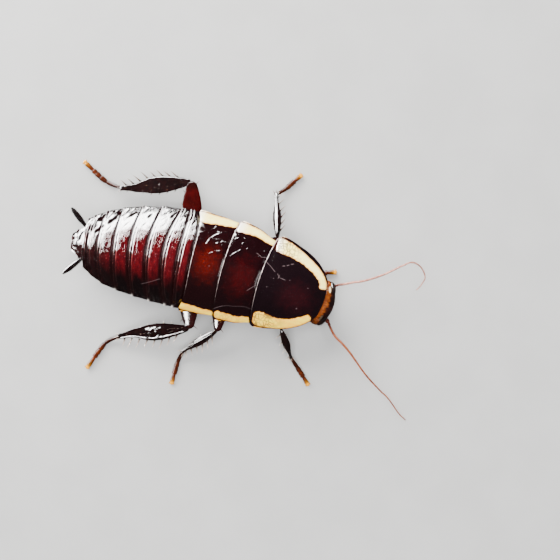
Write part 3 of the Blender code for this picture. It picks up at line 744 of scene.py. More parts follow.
def band_distance(plate, hind, front, along, across, u):
    """How far inside the cream band a place lies, in millimetres, negative outside it."""
    found = np.full(along.shape, -FAR)
    across = across + u * pinch(plate, along, u)
    for side, reach, inner, rim in BANDS[plate]:
        nose = 0.25 if plate == "pronotum" else None
        edge, steps = plate_outline(hind, front, side, nose)
        near = (u * side > 0.2) & (u * side <= 1.01)
        spots = np.stack([along[near], across[near]], -1)
        best, where = np.full(len(spots), 99.0), np.zeros(len(spots))
        for point, step in zip(edge, steps):
            gap = np.hypot(spots[:, 0] - point[0], spots[:, 1] - point[1])
            closer = gap < best
            best[closer], where[closer] = gap[closer], step
        if plate == "pronotum":
            stop = steps[299] + 0.95 if side > 0 else np.interp(17.5, edge[:300, 0], steps[:300])
        else:
            stop = steps[-1] * reach
        start = 0.08 if side > 0 else 0.14
        share = np.clip(where / stop, 0, 1)
        knots = np.linspace(0, 1, 7)
        deep = np.interp(share, knots, inner) + 0.05 * np.sin(5.2 * where + side) * np.sin(2.1 * where)
        inside = np.minimum(best - np.interp(share, knots, rim), deep - best)
        ends = np.minimum(where - start, stop - where)
        ends = np.where(where >= steps[-1] - 1e-6, -1, ends)
        rounding = 0.62 if plate == "pronotum" else 0.42
        rounding = 0.3 if side > 0 else np.where(where < stop / 2, rounding, 0.34)
        both = np.minimum(inside, ends)
        past = np.hypot(np.clip(rounding - inside, 0, None), np.clip(rounding - ends, 0, None))
        corner = rounding - past
        found[near] = np.where((inside < rounding) & (ends < rounding), np.minimum(corner, both), both)
    return found


def pad_crease(plate, u, share):
    """How far inside the margin the wing pad's curved crease runs."""
    full = PAD_SIZE[plate]
    arch = np.sin(np.pi * np.clip(0.05 + 0.88 * share, 0, 1)) ** 0.55
    return np.where(u > 0, 1.25 + 1.5 * full * arch, 0.95 + 1.25 * full * arch)


def thorax_relief(plate, hind, front, hind_edge):
    """Low relief of a plate: rounded bands, wing-pad creases, dents and soft unevenness."""
    seed = {"pronotum": 3, "mesonotum": 11, "metanotum": 23}[plate]

    def relief(along, across, u, share, margin):
        band = band_distance(plate, hind, front, along, across, np.broadcast_to(u, along.shape))
        low = 0.022 * lumps(along, across, seed, 3.0) + 0.010 * lumps(along, across, seed + 1, 1.1)
        low = low * eased(margin / 0.8) * (band < 0.1)
        low = low + 0.055 * eased((band + 0.06) / 0.32) - 0.02 * bell(band + 0.06, 0.06)
        low = low + step_down(along - hind_edge(u), 0.022, 0.03) + creases(plate, along, across)
        if plate == "pronotum":
            low -= 0.05 * np.exp(-(((share - 0.55) / 0.12) ** 2 + ((abs(u) - 0.3) / 0.13) ** 2))
            low -= 0.03 * bell(share - 0.3, 0.05) * bell(abs(u) - 0.45, 0.2)
            return low
        full = PAD_SIZE[plate]
        crease = pad_crease(plate, u, share)
        raised = np.where(u < 0, 0.06 * full, 0.012)
        low = low + raised * bell(margin - crease, 0.07) * eased(share / 0.05)
        low = low - 0.04 * bell(margin - crease + 0.3, 0.25)
        low = low + 0.010 * lumps(along, across, seed + 2, 0.5) * bell(u - 0.58, 0.17)
        folds = np.sin(along * 3.3 + 1.9 * across + 1.6 * np.sin(1.3 * across + along))
        zone = bell(margin - 2.2, 0.8)
        low = low + 0.020 * folds * zone * (u > 0) + 0.006 * folds * zone
        flatter = bell(margin - 1.9, 0.55) * (u > 0)
        low = low + 0.06 * full**2 * flatter * np.sin(np.pi * np.clip(share / 0.75, 0, 1))
        arms = bell(abs(across) - 1.3 - 1.2 * share, 0.12) * eased((share - 0.35) / 0.3)
        return low - 0.03 * arms
    return relief


SCRATCHES = (
    # both ends (along, across), width
    ((9.52, 2.34), (10.28, 1.95), 0.028), ((10.28, 1.95), (11.14, 1.39), 0.028),
    ((11.51, 1.26), (11.88, 0.91), 0.032), ((11.88, 0.91), (12.67, 0.81), 0.032),
    ((11.74, 0.75), (11.79, 1.2), 0.03), ((13.17, 0.98), (13.19, 0.98), 0.045),
    ((15.63, 0.74), (15.65, 0.74), 0.05), ((15.07, -2.1), (15.09, -2.1), 0.07),
    ((10.73, -0.65), (10.75, -0.65), 0.04), ((11.19, 0.57), (11.21, 0.57), 0.035),
    ((11.83, 2.38), (12.05, 2.46), 0.045), ((12.3, 2.6), (12.5, 2.72), 0.045),
    ((12.75, 2.9), (12.99, 3.03), 0.045), ((8.58, -1.87), (9.42, -0.85), 0.028),
    ((-5.13, -4.27), (-4.19, -3.93), 0.03), ((-4.19, -3.93), (-2.69, -3.25), 0.03),
    ((3.2, -0.3), (3.25, -0.3), 0.04), ((-1.6, 0.9), (-1.5, 0.8), 0.05),
    ((-4.4, 1.0), (-4.3, 0.7), 0.04), ((8.26, 2.9), (9.0, 2.6), 0.03),
    ((9.0, 2.6), (9.86, 2.84), 0.03),
)

CREASES = {
    "metanotum": (
        ((2.15, 2.2), (2.41, 3.0), (2.8, 3.5), (3.45, 4.1), (4.31, 4.45)),
        ((2.75, 1.08), (3.4, 1.53), (3.95, 1.8)), ((3.3, 2.6), (3.9, 3.0), (4.6, 3.1)),
    ),
    "mesonotum": (
        ((5.28, 1.4), (5.69, 1.98), (6.29, 2.6), (7.15, 3.15)),
        ((5.2, 4.3), (5.8, 4.75), (6.5, 4.7)), ((8.3, 2.4), (8.95, 2.68), (9.8, 3.05)),
        ((5.3, 3.8), (5.9, 4.25), (6.9, 4.2)), ((9.1, 3.45), (9.3, 3.85)),
        ((6.3, 3.5), (6.75, 3.9)),
    ),
    "pronotum": (),
}


def stroke_gap(start, end, along, across):
    """The distance of each place from a straight stroke between two others."""
    start, run = np.array(start), np.array(end) - start
    share = np.clip(((along - start[0]) * run[0] + (across - start[1]) * run[1]) / (run @ run), 0, 1)
    return np.hypot(along - start[0] - share * run[0], across - start[1] - share * run[1])


def creases(plate, along, across):
    """Low broken ridges on the left of the two hind thorax plates."""
    found = np.zeros(along.shape)
    for line in CREASES[plate]:
        for start, end in zip(line, line[1:]):
            gap = stroke_gap(start, end, along, across)
            found = np.maximum(found, bell(gap, 0.07))
    return 0.06 * found * eased(0.95 + 0.9 * lumps(along, across, 17, 0.9))


def plate_shine(name, along, across, u, share, margin, band):
    """Gloss over a plate, fitted to the photo's light: on the left of the two hind plates only
    thin curved lines keep it."""
    shine = np.where(band > 0, np.where(u < 0, 0.35, 0.6), 1.0)
    if name == "pronotum":
        return shine
    arcs = lumps(along, across, 33 if name == "metanotum" else 35, 1.7)
    broken = eased(0.62 + 0.8 * lumps(along, across, 37, 0.7))
    lines = np.maximum(creases(name, along, across) / 0.06, 0.9 * bell(arcs, 0.09) * broken)
    fan = bell(along - (METANOTUM_HIND if name == "metanotum" else MESONOTUM_HIND), 0.9)
    fan = fan * bell(margin - 1.4, 0.8) * eased(0.5 + 0.9 * np.sin(9 * across + 5 * along))
    lines = np.maximum(lines, fan)
    inside = (band < 0.02) * eased((u - 0.12) / 0.12) * eased((share - 0.035) / 0.01)
    return shine * (1 - inside * (1 - np.clip(lines, 0, 1)))


def scratch_mark(along, across):
    """Fine pale scratches and specks at a few places on the back."""
    found = np.zeros(along.shape)
    for start, end, width in SCRATCHES:
        gap = stroke_gap(start, end, along, across)
        found = np.maximum(found, bell(gap, width))
    return found


def build_back():
    plates = (
        ("metanotum", METANOTUM_HIND, METANOTUM_BOW, MESONOTUM_HIND, MESONOTUM_BOW, 130,
         (0.046, 0.0020, 0.0010), (2.7, -0.1, 0.0), (1.9, 2.5, 1.0), (0.0055, 0.0012, 0.0015)),
        ("mesonotum", MESONOTUM_HIND, MESONOTUM_BOW, PRONOTUM_HIND, PRONOTUM_BOW, 130,
         (0.021, 0.0011, 0.0014), (7.4, -0.7, 0.0), (2.0, 2.9, 1.0), (0.0045, 0.0011, 0.0015)),
        ("pronotum", PRONOTUM_HIND, PRONOTUM_BOW, PRONOTUM_FRONT, PRONOTUM_FRONT_BOW, 190,
         (0.014, 0.0020, 0.0030), (14.6, -0.9, 0.0), (2.6, 2.2, 1.0), (0.0036, 0.0014, 0.0021)),
    )
    for name, hind, bow, front, front_bow, rows, glow, glow_at, glow_size, dark in plates:
        tuck = 0.0 if name == "pronotum" else 0.75
        flatness = METANOTUM_FLATNESS if name == "metanotum" else 2.0
        corner = {"pronotum": 0.8, "mesonotum": 0.6, "metanotum": 0.42}[name]
        hind_edge = rounded_corners(bowed(hind - 0.04, bow, flatness), CORNERS_FROM, corner)
        front_edge = bowed(front + tuck, front_bow)

        def lift(share, u, tuck=tuck):
            proud = 0.15 * (1 - eased(share / 0.6)) - 0.02
            tucked = -0.34 * eased((share - 0.72) / 0.2) if tuck else 0.0
            return (proud + tucked) * (1 - 0.35 * abs(u))

        def widen(share, along, u, tuck=tuck, name=name):
            step = 0.20 * (1 - eased(share / 0.4)) - pinch(name, along, u)
            return step - (0.20 * eased((share - 0.45) / 0.35) if tuck else 0.0)
        grid, body, u, share, margin = plate_grid(
            hind_edge, front_edge, rows, PLATE_COLUMNS, lift,
            thorax_relief(name, hind, front, hind_edge), widen
        )
        thickness = 0.24 + 0.34 * eased(margin / 2.2)
        points, faces, from_hind = shell_mesh(grid, thickness, 0.05)
        along, across = body[..., 0], body[..., 1]
        band = band_distance(name, hind, front, along, across, u)
        rear = 1 - eased((along - hind) / (3.6 if name == "pronotum" else 4.5) - 0.35)
        netted = {"pronotum": rear, "mesonotum": 0.4 * (u < 0) * rear, "metanotum": 0.06 * rear}[name]
        netted = netted * eased(0.75 + 0.35 * lumps(along, across, 71, 1.5)) * np.where(u < 0, 1.0, 1.1)
        # Painted highlights near the hind edge of each plate's left side, whitening the cream bands there.
        painted_glare = np.where(u > 0, bell(along - hind - 0.2, 0.75), 0.0)
        marks = scratch_mark(along, across)
        # A pale line along the right wing pad's crease, painted as a highlight on its ridge, goes in with
        # the scratches.
        if name == "mesonotum":
            line = bell(margin - pad_crease(name, u, share), 0.035) * (u < 0)
            line = line * (0.35 + 0.65 * eased((0.3 - share) / 0.15)) * eased(share / 0.03) * (share < 0.86)
            marks = np.maximum(marks, line)
        outer = np.concatenate([np.ones(band.size), np.zeros(band.size)])
        flat = {
            "body": np.concatenate([body.reshape(-1, 3)] * 2),
            "band": np.concatenate([band.ravel(), band.ravel() - 0.12]),
            "netted": twice(netted) * outer,
            "scratch_and_highlight": twice(marks) * outer,
            "painted_glare": twice(painted_glare) * outer,
            "shine": twice(plate_shine(name, along, across, u, share, margin, band)),
            "hind": twice(from_hind),
            "outer": outer,
        }
        points, faces, flat = compact(points, faces, flat)
        material = plate_material("shell-" + name, glow, glow_at, glow_size, dark)
        make_piece("shell_" + name, points, faces, material, [name], flat)


# Abdomen, soft skin and breast.

GLARE_GAPS = (
    # Where the photo's glare breaks on the left of the rings: (along, across) of both ends, width.
    ((-10.26, 2.84), (-9.37, 4.25), 0.30), ((-8.07, 3.87), (-7.28, 4.60), 0.20),
    ((-5.58, 4.19), (-5.35, 4.66), 0.14), ((-12.09, 2.95), (-10.98, 4.10), 0.30),
    ((-11.89, 1.48), (-11.10, 2.36), 0.22), ((-14.13, 0.26), (-13.76, 1.33), 0.16),
    ((-13.15, 1.24), (-12.80, 2.27), 0.22), ((-12.55, 1.76), (-12.16, 2.74), 0.28),
    ((-2.94, 4.66), (-2.47, 5.39), 0.14), ((-0.79, 4.56), (-0.37, 5.17), 0.12),
    ((-14.43, -0.54), (-14.35, 0.24), 0.12), ((-13.17, -0.05), (-13.05, 1.91), 0.07),
    ((-12.75, -0.01), (-12.60, 1.42), 0.06),
)


def glare_gap_field(along, across):
    """How far a place lies in one of the gaps in the glare, from 0 to 1, with ragged edges; these places get
    painted shade and lose their gloss.
    """
    ragged = 0.32 * lumps(along, across, 93, 0.85)
    found = np.zeros(along.shape)
    for start, end, width in GLARE_GAPS:
        gap = stroke_gap(start, end, along, across)
        found = np.maximum(found, eased(1.6 + ragged - gap / width))
    return found


PLEATS = (
    # distance from the margin and from the hind edge, depth, width, length
    (0.78, 0.55, 0.24, 0.17, 0.50), (1.75, 0.75, 0.13, 0.13, 0.36),
    (0.45, 1.35, 0.14, 0.13, 0.30), (2.5, 1.1, 0.09, 0.11, 0.30),
)


def ring_pleats(number):
    """Places and sizes of the pleats at a ring's sides."""
    pick = random.Random(400 + number)
    pleats = []
    for sign in (-1, 1):
        for inward, ahead, deep, wide, long in PLEATS:
            pleats.append((sign, inward + pick.uniform(-0.12, 0.12), ahead + pick.uniform(-0.12, 0.12),
                           deep * pick.uniform(0.8, 1.2) * (1 + 0.2 * max(0, number - 4)), wide,
                           long * pick.uniform(0.8, 1.25)))
    return pleats


def pleat_field(number, ahead, margin, u):
    """Depth of a ring's pleats, which are shallower on the left."""
    total = 0
    for sign, inward, forward, deep, wide, long in ring_pleats(number):
        deep = deep * (0.45 if sign > 0 else 1.0)
        run, off = ahead - forward, margin - inward
        q = 0.57 * run - 0.82 * off
        p = 0.82 * run + 0.57 * off
        total = total + deep * np.exp(-((p / wide) ** 2 + (q / long) ** 2)) * (u * sign > 0)
    return total


def ring_relief(number, hind_edge, front_edge):
    """A ring's camber, the two fine ridges along its hind edge, and the pleats at its sides."""
    def relief(along, across, u, share, margin):
        ahead = along - hind_edge(u)
        length = front_edge(u) - hind_edge(u)
        low = 0.020 * lumps(along, across, 40 + number, 2.0)
        low = (low + 0.010 * lumps(along, across, 60 + number, 0.8)) * eased(margin / 0.5)
        low = low - 0.09 * (2 * np.clip(ahead / length, 0, 1) - 0.85) ** 2
        low = low + step_down(ahead, 0.048, 0.09)
        low = low + step_down(ahead - 0.38, 0.045, 0.09) + 0.03 * eased((0.38 - ahead) / 0.18)
        return low - pleat_field(number, ahead, margin, u)
    return relief


def shell_marks(points, faces, body, side, from_hind, tucked=None, shine=None):
    """The attributes that the shaders of the abdomen's plates read."""
    count = side.size
    # Painted glints at the hind corners of the rings' right side.
    corner = np.exp(-(((1 - abs(side)) / 0.036) ** 2 + ((from_hind - 0.10) / 0.2) ** 2)) * (side < 0)
    outer = np.concatenate([np.ones(count), np.zeros(count)])
    tucked = np.full(side.shape, FAR) if tucked is None else tucked
    scratch_and_highlight = scratch_mark(body[..., 0], body[..., 1])
    shine = np.ones(side.shape) if shine is None else shine
    flat = {
        "body": np.concatenate([body.reshape(-1, 3)] * 2),
        "side": twice(side),
        "hind": twice(from_hind),
        "tucked": twice(tucked),
        "corner": twice(corner) * outer,
        "scratch_and_highlight": twice(scratch_and_highlight) * outer,
        "shine": twice(shine),
        "outer": outer,
    }
    return compact(points, faces, flat)


def build_abdomen():
    """Tergites above and sternites below, each lapping over the one behind it."""
    material = abdomen_material()
    hind = METANOTUM_HIND - GAP
    front_shape = (METANOTUM_BOW, METANOTUM_FLATNESS)
    segments = []
    for number, (length, bow) in enumerate(zip(SEGMENT_LENGTHS, SEGMENT_BOWS), 1):
        front = hind
        hind = front - length
        segments.append((number, hind + GAP, bow, front, front_shape))
        front_shape = (bow, 2.0)
    for number, hind_corner, bow, front, front_shape in segments:
        tuck = 0.95 if number < 8 else 0.7
        hind_edge = bowed(hind_corner - 0.05, bow, 2.0, 0.24)
        seam = bowed(front + GAP - 0.05, *front_shape)
        front_edge = bowed(front + tuck, *front_shape)

        def lift(share, u, hind_edge=hind_edge, seam=seam, front_edge=front_edge):
            along = hind_edge(u) + share * (front_edge(u) - hind_edge(u))
            seen = (along - hind_edge(u)) / (seam(u) - hind_edge(u))
            under = eased((along - seam(u) + 0.36) / 0.45)
            return (0.13 - 0.06 * eased(seen) - 0.28 * under) * (1 - 0.4 * abs(u))
        grid, body, u, share, margin = plate_grid(
            hind_edge, front_edge, 92, 200, lift, ring_relief(number, hind_edge, seam),
            lambda share, along, u: 0.10 * (1 - eased(share / 0.5)) - 0.04
        )
        points, faces, _ = shell_mesh(grid, 0.13 + 0.1 * eased(margin / 1.5), 0.06)
        tucked = np.broadcast_to(seam(u) - body[..., 0], u.shape)
        ahead = body[..., 0] - hind_edge(u)
        shine = 1 - glare_gap_field(body[..., 0], body[..., 1])
        points, faces, flat = shell_marks(points, faces, body, u, ahead, tucked, shine)
        node_name = f"abdomen_segment_{number}"
        make_piece(f"tergite_{number}", points, faces, material, [node_name], flat)
        u = spread(120, 0.85)[None, :] * 0.955
        share = crowded(40)[:, None]
        hind_edge = bowed(hind_corner - 0.1, 0.5 * bow)(u)
        front_edge = bowed(front + 0.55, 0.5 * front_shape[0])(u)
        along = hind_edge + share * (front_edge - hind_edge)
        across = u * half_width(along) - lean(along)
        lap = -0.06 + 0.2 * eased((share - 0.3) / 0.5)
        up = belly_height(along, u) + lap - 0.02 * lumps(along, across, 80 + number, 1.6)
        up = np.minimum(up, top_height(along, u) - 0.35)
        body = in_plan(along, across)
        points, faces, from_hind = shell_mesh(place(along, across, up), 0.18, 0.09, up=-1)
        points, faces, flat = shell_marks(points, faces, body, np.broadcast_to(u, along.shape), from_hind)
        make_piece(f"sternite_{number}", points, faces, material, [node_name], flat)
    return material, hind, front_shape[0]


def build_tail(material, hind_corner, front_bow):
    """The plate over the tail's end and the one below it."""
    base = hind_corner
    for name, flip in (("supra_anal_plate", 1), ("subgenital_plate", -1)):
        u = spread(120, 0.85)[None, :]
        share = crowded(64)[:, None]
        front = base - front_bow * (1 - (TAIL_PLATE_SHARE * u) ** 2) + 0.75
        notch = 0.22 * bell(u - 0.1, 0.2) if flip > 0 else 0.0
        hind = base - (TAIL_PLATE_LENGTH + 0.06 - notch) * (1 - 0.10 * u**2 - 0.30 * abs(u) ** 9)
        along = hind + share * (front - hind)
        half = 1.22 + 0.88 * np.clip(share / 0.62, 0, 1) ** 0.9
        across = u * half * (1.0 if flip > 0 else 0.85) - 0.05
        v = across / float(half_width(base - 0.3))
        inside = np.clip(abs(v), 0, 0.9)
        if flip > 0:
            up = top_height(along, inside) - 0.12 - 0.14 * share - 0.34 * (1 - share) ** 2
            up = up + 0.05 * bell(abs(u) - 0.55, 0.12)
            up = up - 0.07 * bell(share - 0.42 + 0.1 * u, 0.07) * (abs(u) > 0.15)
            up = up - 0.06 * np.exp(-(((u - 0.25) / 0.1) ** 2 + ((share - 0.3) / 0.3) ** 2))
        else:
            up = belly_height(along, inside) + 0.12 + 0.12 * share
        body = in_plan(along, across)
        points, faces, from_hind = shell_mesh(place(along, across, up), 0.2, 0.1, up=flip)
        shine = 1 - glare_gap_field(body[..., 0], body[..., 1])
        side = 0.5 * np.broadcast_to(v, along.shape)
        points, faces, flat = shell_marks(points, faces, body, side, from_hind, None, shine)
        make_piece(name, points, faces, material, ["tail_plate"], flat)


def build_skin(material):
    """One soft skin inside the plates, from the neck to the tail."""
    rows = 150
    stations = np.linspace(-14.9, 15.9, rows)
    sides = 60
    rings = []
    for along in stations:
        angle = np.linspace(0, math.tau, sides, endpoint=False)
        wide = float(half_width(along))
        under_thorax = eased((along + 0.6) / 1.4)
        neck = eased((along - 13.0) / 2.2)
        tail = eased((-along - 13.2) / 1.7)
        share = (0.93 * (1 - under_thorax) + 0.62 * under_thorax) * (1 - 0.55 * neck) * (1 - 0.75 * tail)
        u = share * np.cos(angle)
        top = top_height(along, u) - 0.62 - 0.9 * neck
        low_abdomen = belly_height(along, u) + 0.22
        low_thorax = 3.27 + 0.5 * (abs(u) / 0.62) ** 3
        low = low_abdomen * (1 - under_thorax) + low_thorax * under_thorax
        low = low + 0.3 * neck * (1 - 0.5 * abs(u))
        middle = (top + low) / 2
        top, low = np.maximum(top, middle + 0.02), np.minimum(low, middle - 0.02)
        half = np.sqrt(np.clip(np.sin(angle) ** 2, 0, 1))
        over, below = (top - middle) * half**0.6, (middle - low) * half**0.6
        up = np.where(np.sin(angle) >= 0, middle + over, middle - below)
        up = up + 0.03 * np.sin(along * 9.0)
        rings.append(place(along, u * wide - float(lean(along)), up))
    points, faces = tube_mesh(rings)
    nodes = ["prothorax", "mesothorax", "metathorax", "neck"]
    make_piece("soft_skin", points, faces, material, nodes)


def build_breast(material):
    """Hard plates on the underside of the thorax, between the legs."""
    bundle = Bundle()
    for centre, long, wide in ((13.4, 1.2, 1.1), (9.0, 1.3, 1.5), (4.0, 1.3, 1.7)):
        u = spread(50, 0.7)[None, :]
        v = spread(40, 0.7)[:, None]
        round_u = u * np.sqrt(1 - v * v / 2)
        round_v = v * np.sqrt(1 - u * u / 2)
        along = centre + long * round_v * (1 - 0.15 * abs(round_u))
        across = wide * round_u * (1 + 0.25 * round_v)
        up = 3.16 + 0.35 * (round_u**2 + round_v**2) - 0.08 * bell(round_u, 0.1)
        points, faces, _ = shell_mesh(place(along, across, up), 0.3, 0.12, up=-1)
        points, faces, _ = compact(points, faces, {})
        bundle.add(points, faces)
    bundle.piece("breast_plates", material, [])


# Head.

def head_axes():
    _, _, heading = midline(HEAD_ALONG)
    turn = Matrix.Rotation(float(heading), 3, "Z") @ Matrix.Rotation(HEAD_PITCH, 3, "Y")
    return place(HEAD_ALONG, HEAD_ACROSS, HEAD_HEIGHT), np.array(turn)


def head_world(points):
    centre, turn = head_axes()
    return centre + np.asarray(points) @ turn.T


def ray_reach(direction, centre, half):
    """How far from the origin each direction leaves an ellipsoid, or 0 where it misses."""
    d = direction / half
    c = np.asarray(centre) / half
    a = (d * d).sum(-1)
    b = (d * c).sum(-1)
    root = b * b - a * ((c * c).sum() - 1)
    return np.where(root > 0, (b + np.sqrt(np.clip(root, 0, None))) / a, 0.0)


def soft_max(values, sharp):
    values = np.stack(values)
    top = values.max(0)
    return top + np.log(np.exp(sharp * (values - top)).sum(0)) / sharp


def sphere_grid(rows, columns):
    tilt = np.linspace(0, np.pi, rows)[1:-1, None]
    turn = np.linspace(0, math.tau, columns, endpoint=False)[None, :]
    parts = (np.sin(tilt) * np.cos(turn), np.sin(tilt) * np.sin(turn), np.cos(tilt))
    points = np.stack(np.broadcast_arrays(*parts), -1).reshape(-1, 3)
    return np.concatenate([points, [[0, 0, 1], [0, 0, -1]]]), skin_faces(rows - 2, columns, turned=True)


SOCKET = np.array([1.05, 1.75, -0.1])
SKULL_HALF = (1.5, 2.7, 1.95)


def build_head():
    direction, faces = sphere_grid(240, 300)
    lobes = [
        ((0, 0, 0), SKULL_HALF),
        ((0.95, 0, -1.05), (0.55, 1.05, 0.8)),
        ((0.7, 0, -1.8), (0.4, 0.78, 0.55)),
        ((-0.55, 0, -1.5), (0.6, 0.85, 0.62)),
    ]
    for side in (-1, 1):
        lobes.append(((0.35, side * 0.95, -1.5), (0.45, 0.45, 0.65)))
        lobes.append((SOCKET * (1, side, 1) - (0.12, 0.1 * side, 0), (0.5, 0.42, 0.42)))
        lobes.append(((-0.15, side * 2.28, 0.15), (0.85, 0.72, 1.0)))
    reach = soft_max([ray_reach(direction, c, np.array(h)) for c, h in lobes], 14.0)
    points = direction * reach[:, None]
    x, y, z = points.T
    front = x > 0

    def groove(distance, depth, width):
        return depth * bell(distance, width)
    cut = groove(y, 0.03, 0.05) * eased((z - 0.2) / 0.4) * eased((x + 0.9) / 0.4)
    cut += groove(z + 0.72 - 0.12 * y * y, 0.05, 0.05) * front * eased((1.3 - abs(y)) / 0.2)
    cut += groove(z + 1.5, 0.08, 0.06) * front * eased((0.95 - abs(y)) / 0.2)
    cut += groove(abs(y) - 0.72 + 0.1 * z, 0.05, 0.05) * front * eased((-0.9 - z) / 0.3)
    cut += 0.012 * lumps(x, y + z, 91, 0.9)
    for side in (-1, 1):
        from_socket = np.linalg.norm((points - SOCKET * (1, side, 1)) * (0.5, 1, 1), axis=1)
        cut += groove(from_socket - 0.52, 0.05, 0.08)
        cut -= groove(from_socket - 0.36, 0.05, 0.07)
        cut += 0.14 * eased((0.24 - from_socket) / 0.1)
    points = points - direction * cut[:, None]
    x, y, z = points.T
    tilt = np.arctan2(x, z)
    edge = -0.14 - 0.04 * eased(y / 1.4) - 0.22 * eased(-y / 2.4) + 0.06 * lumps(y, 0 * y, 7, 0.9)
    edge = edge + 0.05 * np.sin(13 * y + 2.0 * np.sin(4.1 * y))
    face_and_shade = eased((tilt - edge + 0.05) / 0.26) * (tilt < 2.6)
    # The right end of the crown is darkened as well: painted shade.
    face_and_shade = np.maximum(face_and_shade, 0.65 * eased((-y - 1.9) / 0.6))
    spot = np.zeros_like(x)
    for side in (-1, 1):
        gap = (points - (-0.22, side * 1.9, 1.33)) / (0.17, 0.55, 0.45)
        # The pale spots are the head's own; the right one is nearly faded out as painted shade.
        weight = 1.0 if side > 0 else 0.05
        spot = np.maximum(spot, weight * eased((1 - np.linalg.norm(gap, axis=1)) / 0.25))
    wave = np.sin(11 * y + 2.0 * np.sin(3.1 * y) + 1.5 * np.sin(7.3 * y + 2 * tilt))
    streaks = eased((wave - 0.1) / 0.8) * eased((tilt + 0.75) / 0.7)
    streaks = streaks * (0.5 + 0.5 * eased(0.5 + lumps(x, y, 5, 0.6)))
    mouth = eased((-0.85 - z) / 0.35) * 0.7
    attributes = {"face_and_shade": face_and_shade, "spot": spot, "mouth": mouth, "streaks": streaks}
    make_piece("head_capsule", head_world(points), faces, head_material(), ["head"], attributes)
    material = eye_material()
    ball, faces = sphere_grid(110, 130)
    # The left eye is the right one mirrored, so its faces are wound inwards: an open fault.
    for side, name in ((1, "eye_left"), (-1, "eye_right")):
        centre = np.array([0.27, 0.86 * side, 0.40])
        centre = unit(centre)
        back = np.cross([0, 0, 1.0], centre)
        back *= -np.sign(back[0]) / np.linalg.norm(back)
        upward = np.cross(centre, back)
        upward *= np.sign(upward[2])
        q = ball[:, 2] * 0.56
        p = ball[:, 0] * 0.33 * np.sqrt(np.clip(1 - 0.25 * ball[:, 2] ** 2, 0, 1)) - 0.62 * q * q + 0.06
        spots = centre + back * p[:, None] + upward * q[:, None]
        spots /= np.linalg.norm(spots, axis=1, keepdims=True)
        depth = 0.03 + 0.13 * ball[:, 1]
        points = spots * SKULL_HALF * (1 + depth)[:, None]
        make_piece("facet_" + name, head_world(points), faces, material, [name])


# Palps and feelers.

def beaded(path, radii_of, bounds, rows_each, sides, flat=1.0):
    """A feeler's or foot's lengths: each swells to its end and is pinched at its joint."""
    shares, radii = [], []
    for low, high in zip(bounds, bounds[1:]):
        for k in range(rows_each):
            t = k / (rows_each - 1)
            shares.append(low + (high - low) * (0.02 + 0.96 * t))
            pinch = 0.72 if k in (0, rows_each - 1) else 0.9 + 0.1 * t
            radii.append(radii_of((low + high) / 2, t) * pinch)
    radii[0] *= 0.4
    radii[-1] *= 0.4
    points = resampled(path, shares)
    return round_tube(points, radii, sides, flat)


PALP_JOINTS = (
    (0.25, 1.95, -1.9), (0.8, 2.2, -1.7), (1.35, 2.1, -1.5), (1.8, 1.75, -1.5), (1.95, 1.35, -1.65),
)


def build_palps(material):
    for side, name in ((1, "palp_left"), (-1, "palp_right")):
        bundle = Bundle()
        joints = [np.array(j) * (1, side, 1) for j in PALP_JOINTS]
        root = np.array([0.0, 1.35 * side, -1.55])
        path = smooth_path(head_world([root, *joints]), 10)

        def radius(middle, t):
            return 0.17 + 0.05 * math.sin(math.pi * t) + (0.05 * t if middle > 0.8 else 0)
        bundle.add(*beaded(path, radius, (0.0, 0.14, 0.3, 0.53, 0.76, 1.0), 12, 18))
        short = [(0.1, 0.5, -2.0), (0.5, 0.75, -2.2), (0.95, 0.85, -2.1), (1.25, 0.7, -2.0)]
        path = smooth_path(head_world([np.array(j) * (1, side, 1) for j in short]), 8)
        bundle.add(*beaded(path, lambda m, t: 0.13 + 0.03 * t, (0.0, 0.3, 0.62, 1.0), 10, 14))
        bundle.piece("jointed_" + name, material, [name])


SCAPE_END = 1.05
PEDICEL_END = 1.5
BRISTLES_PER_RING = 5
ANTENNA_ROUTES = {
    "left": [
        (19.22, 0.62, 2.72), (20.3, 1.1, 3.25), (21.4, 1.58, 3.7), (22.7, 2.1, 4.1),
        (24.9, 3.4, 4.2), (27.0, 5.0, 3.8), (28.3, 5.75, 3.3), (29.6, 5.4, 2.8),
        (30.5, 4.3, 2.3), (30.3, 3.2, 1.9), (29.9, 2.4, 1.6),
    ],
    "right": [
        (19.35, -4.15, 2.5), (19.75, -4.75, 2.8), (20.6, -5.75, 3.2), (21.8, -6.55, 3.4),
        (23.2, -7.65, 3.2), (25.6, -9.8, 2.6), (28.0, -11.5, 2.0), (29.3, -12.3, 1.7),
        (31.2, -14.0, 1.2), (32.3, -14.7, 1.0),
    ],
}


def antenna_material(side, low, high):
    material, net, shader = tree("feeler-rings-" + side)
    along = attribute(net, "mark")
    tone = noise(net, coordinates(net), 2.2, 3.0)
    colour = mixed(net, span(net, tone, 0.3, 0.7), low, high)
    colour = mixed(net, span(net, along, 0.12, 0.0), colour, (0.045, 0.009, 0.006))
    feed(shader, {"Base Color": colour, "Roughness": 0.32, "Specular IOR Level": 0.15})
    down = noise(net, coordinates(net), 26.0, 2.0)
    bumped(net, shader, down, 0.4, 0.00003)
    return material


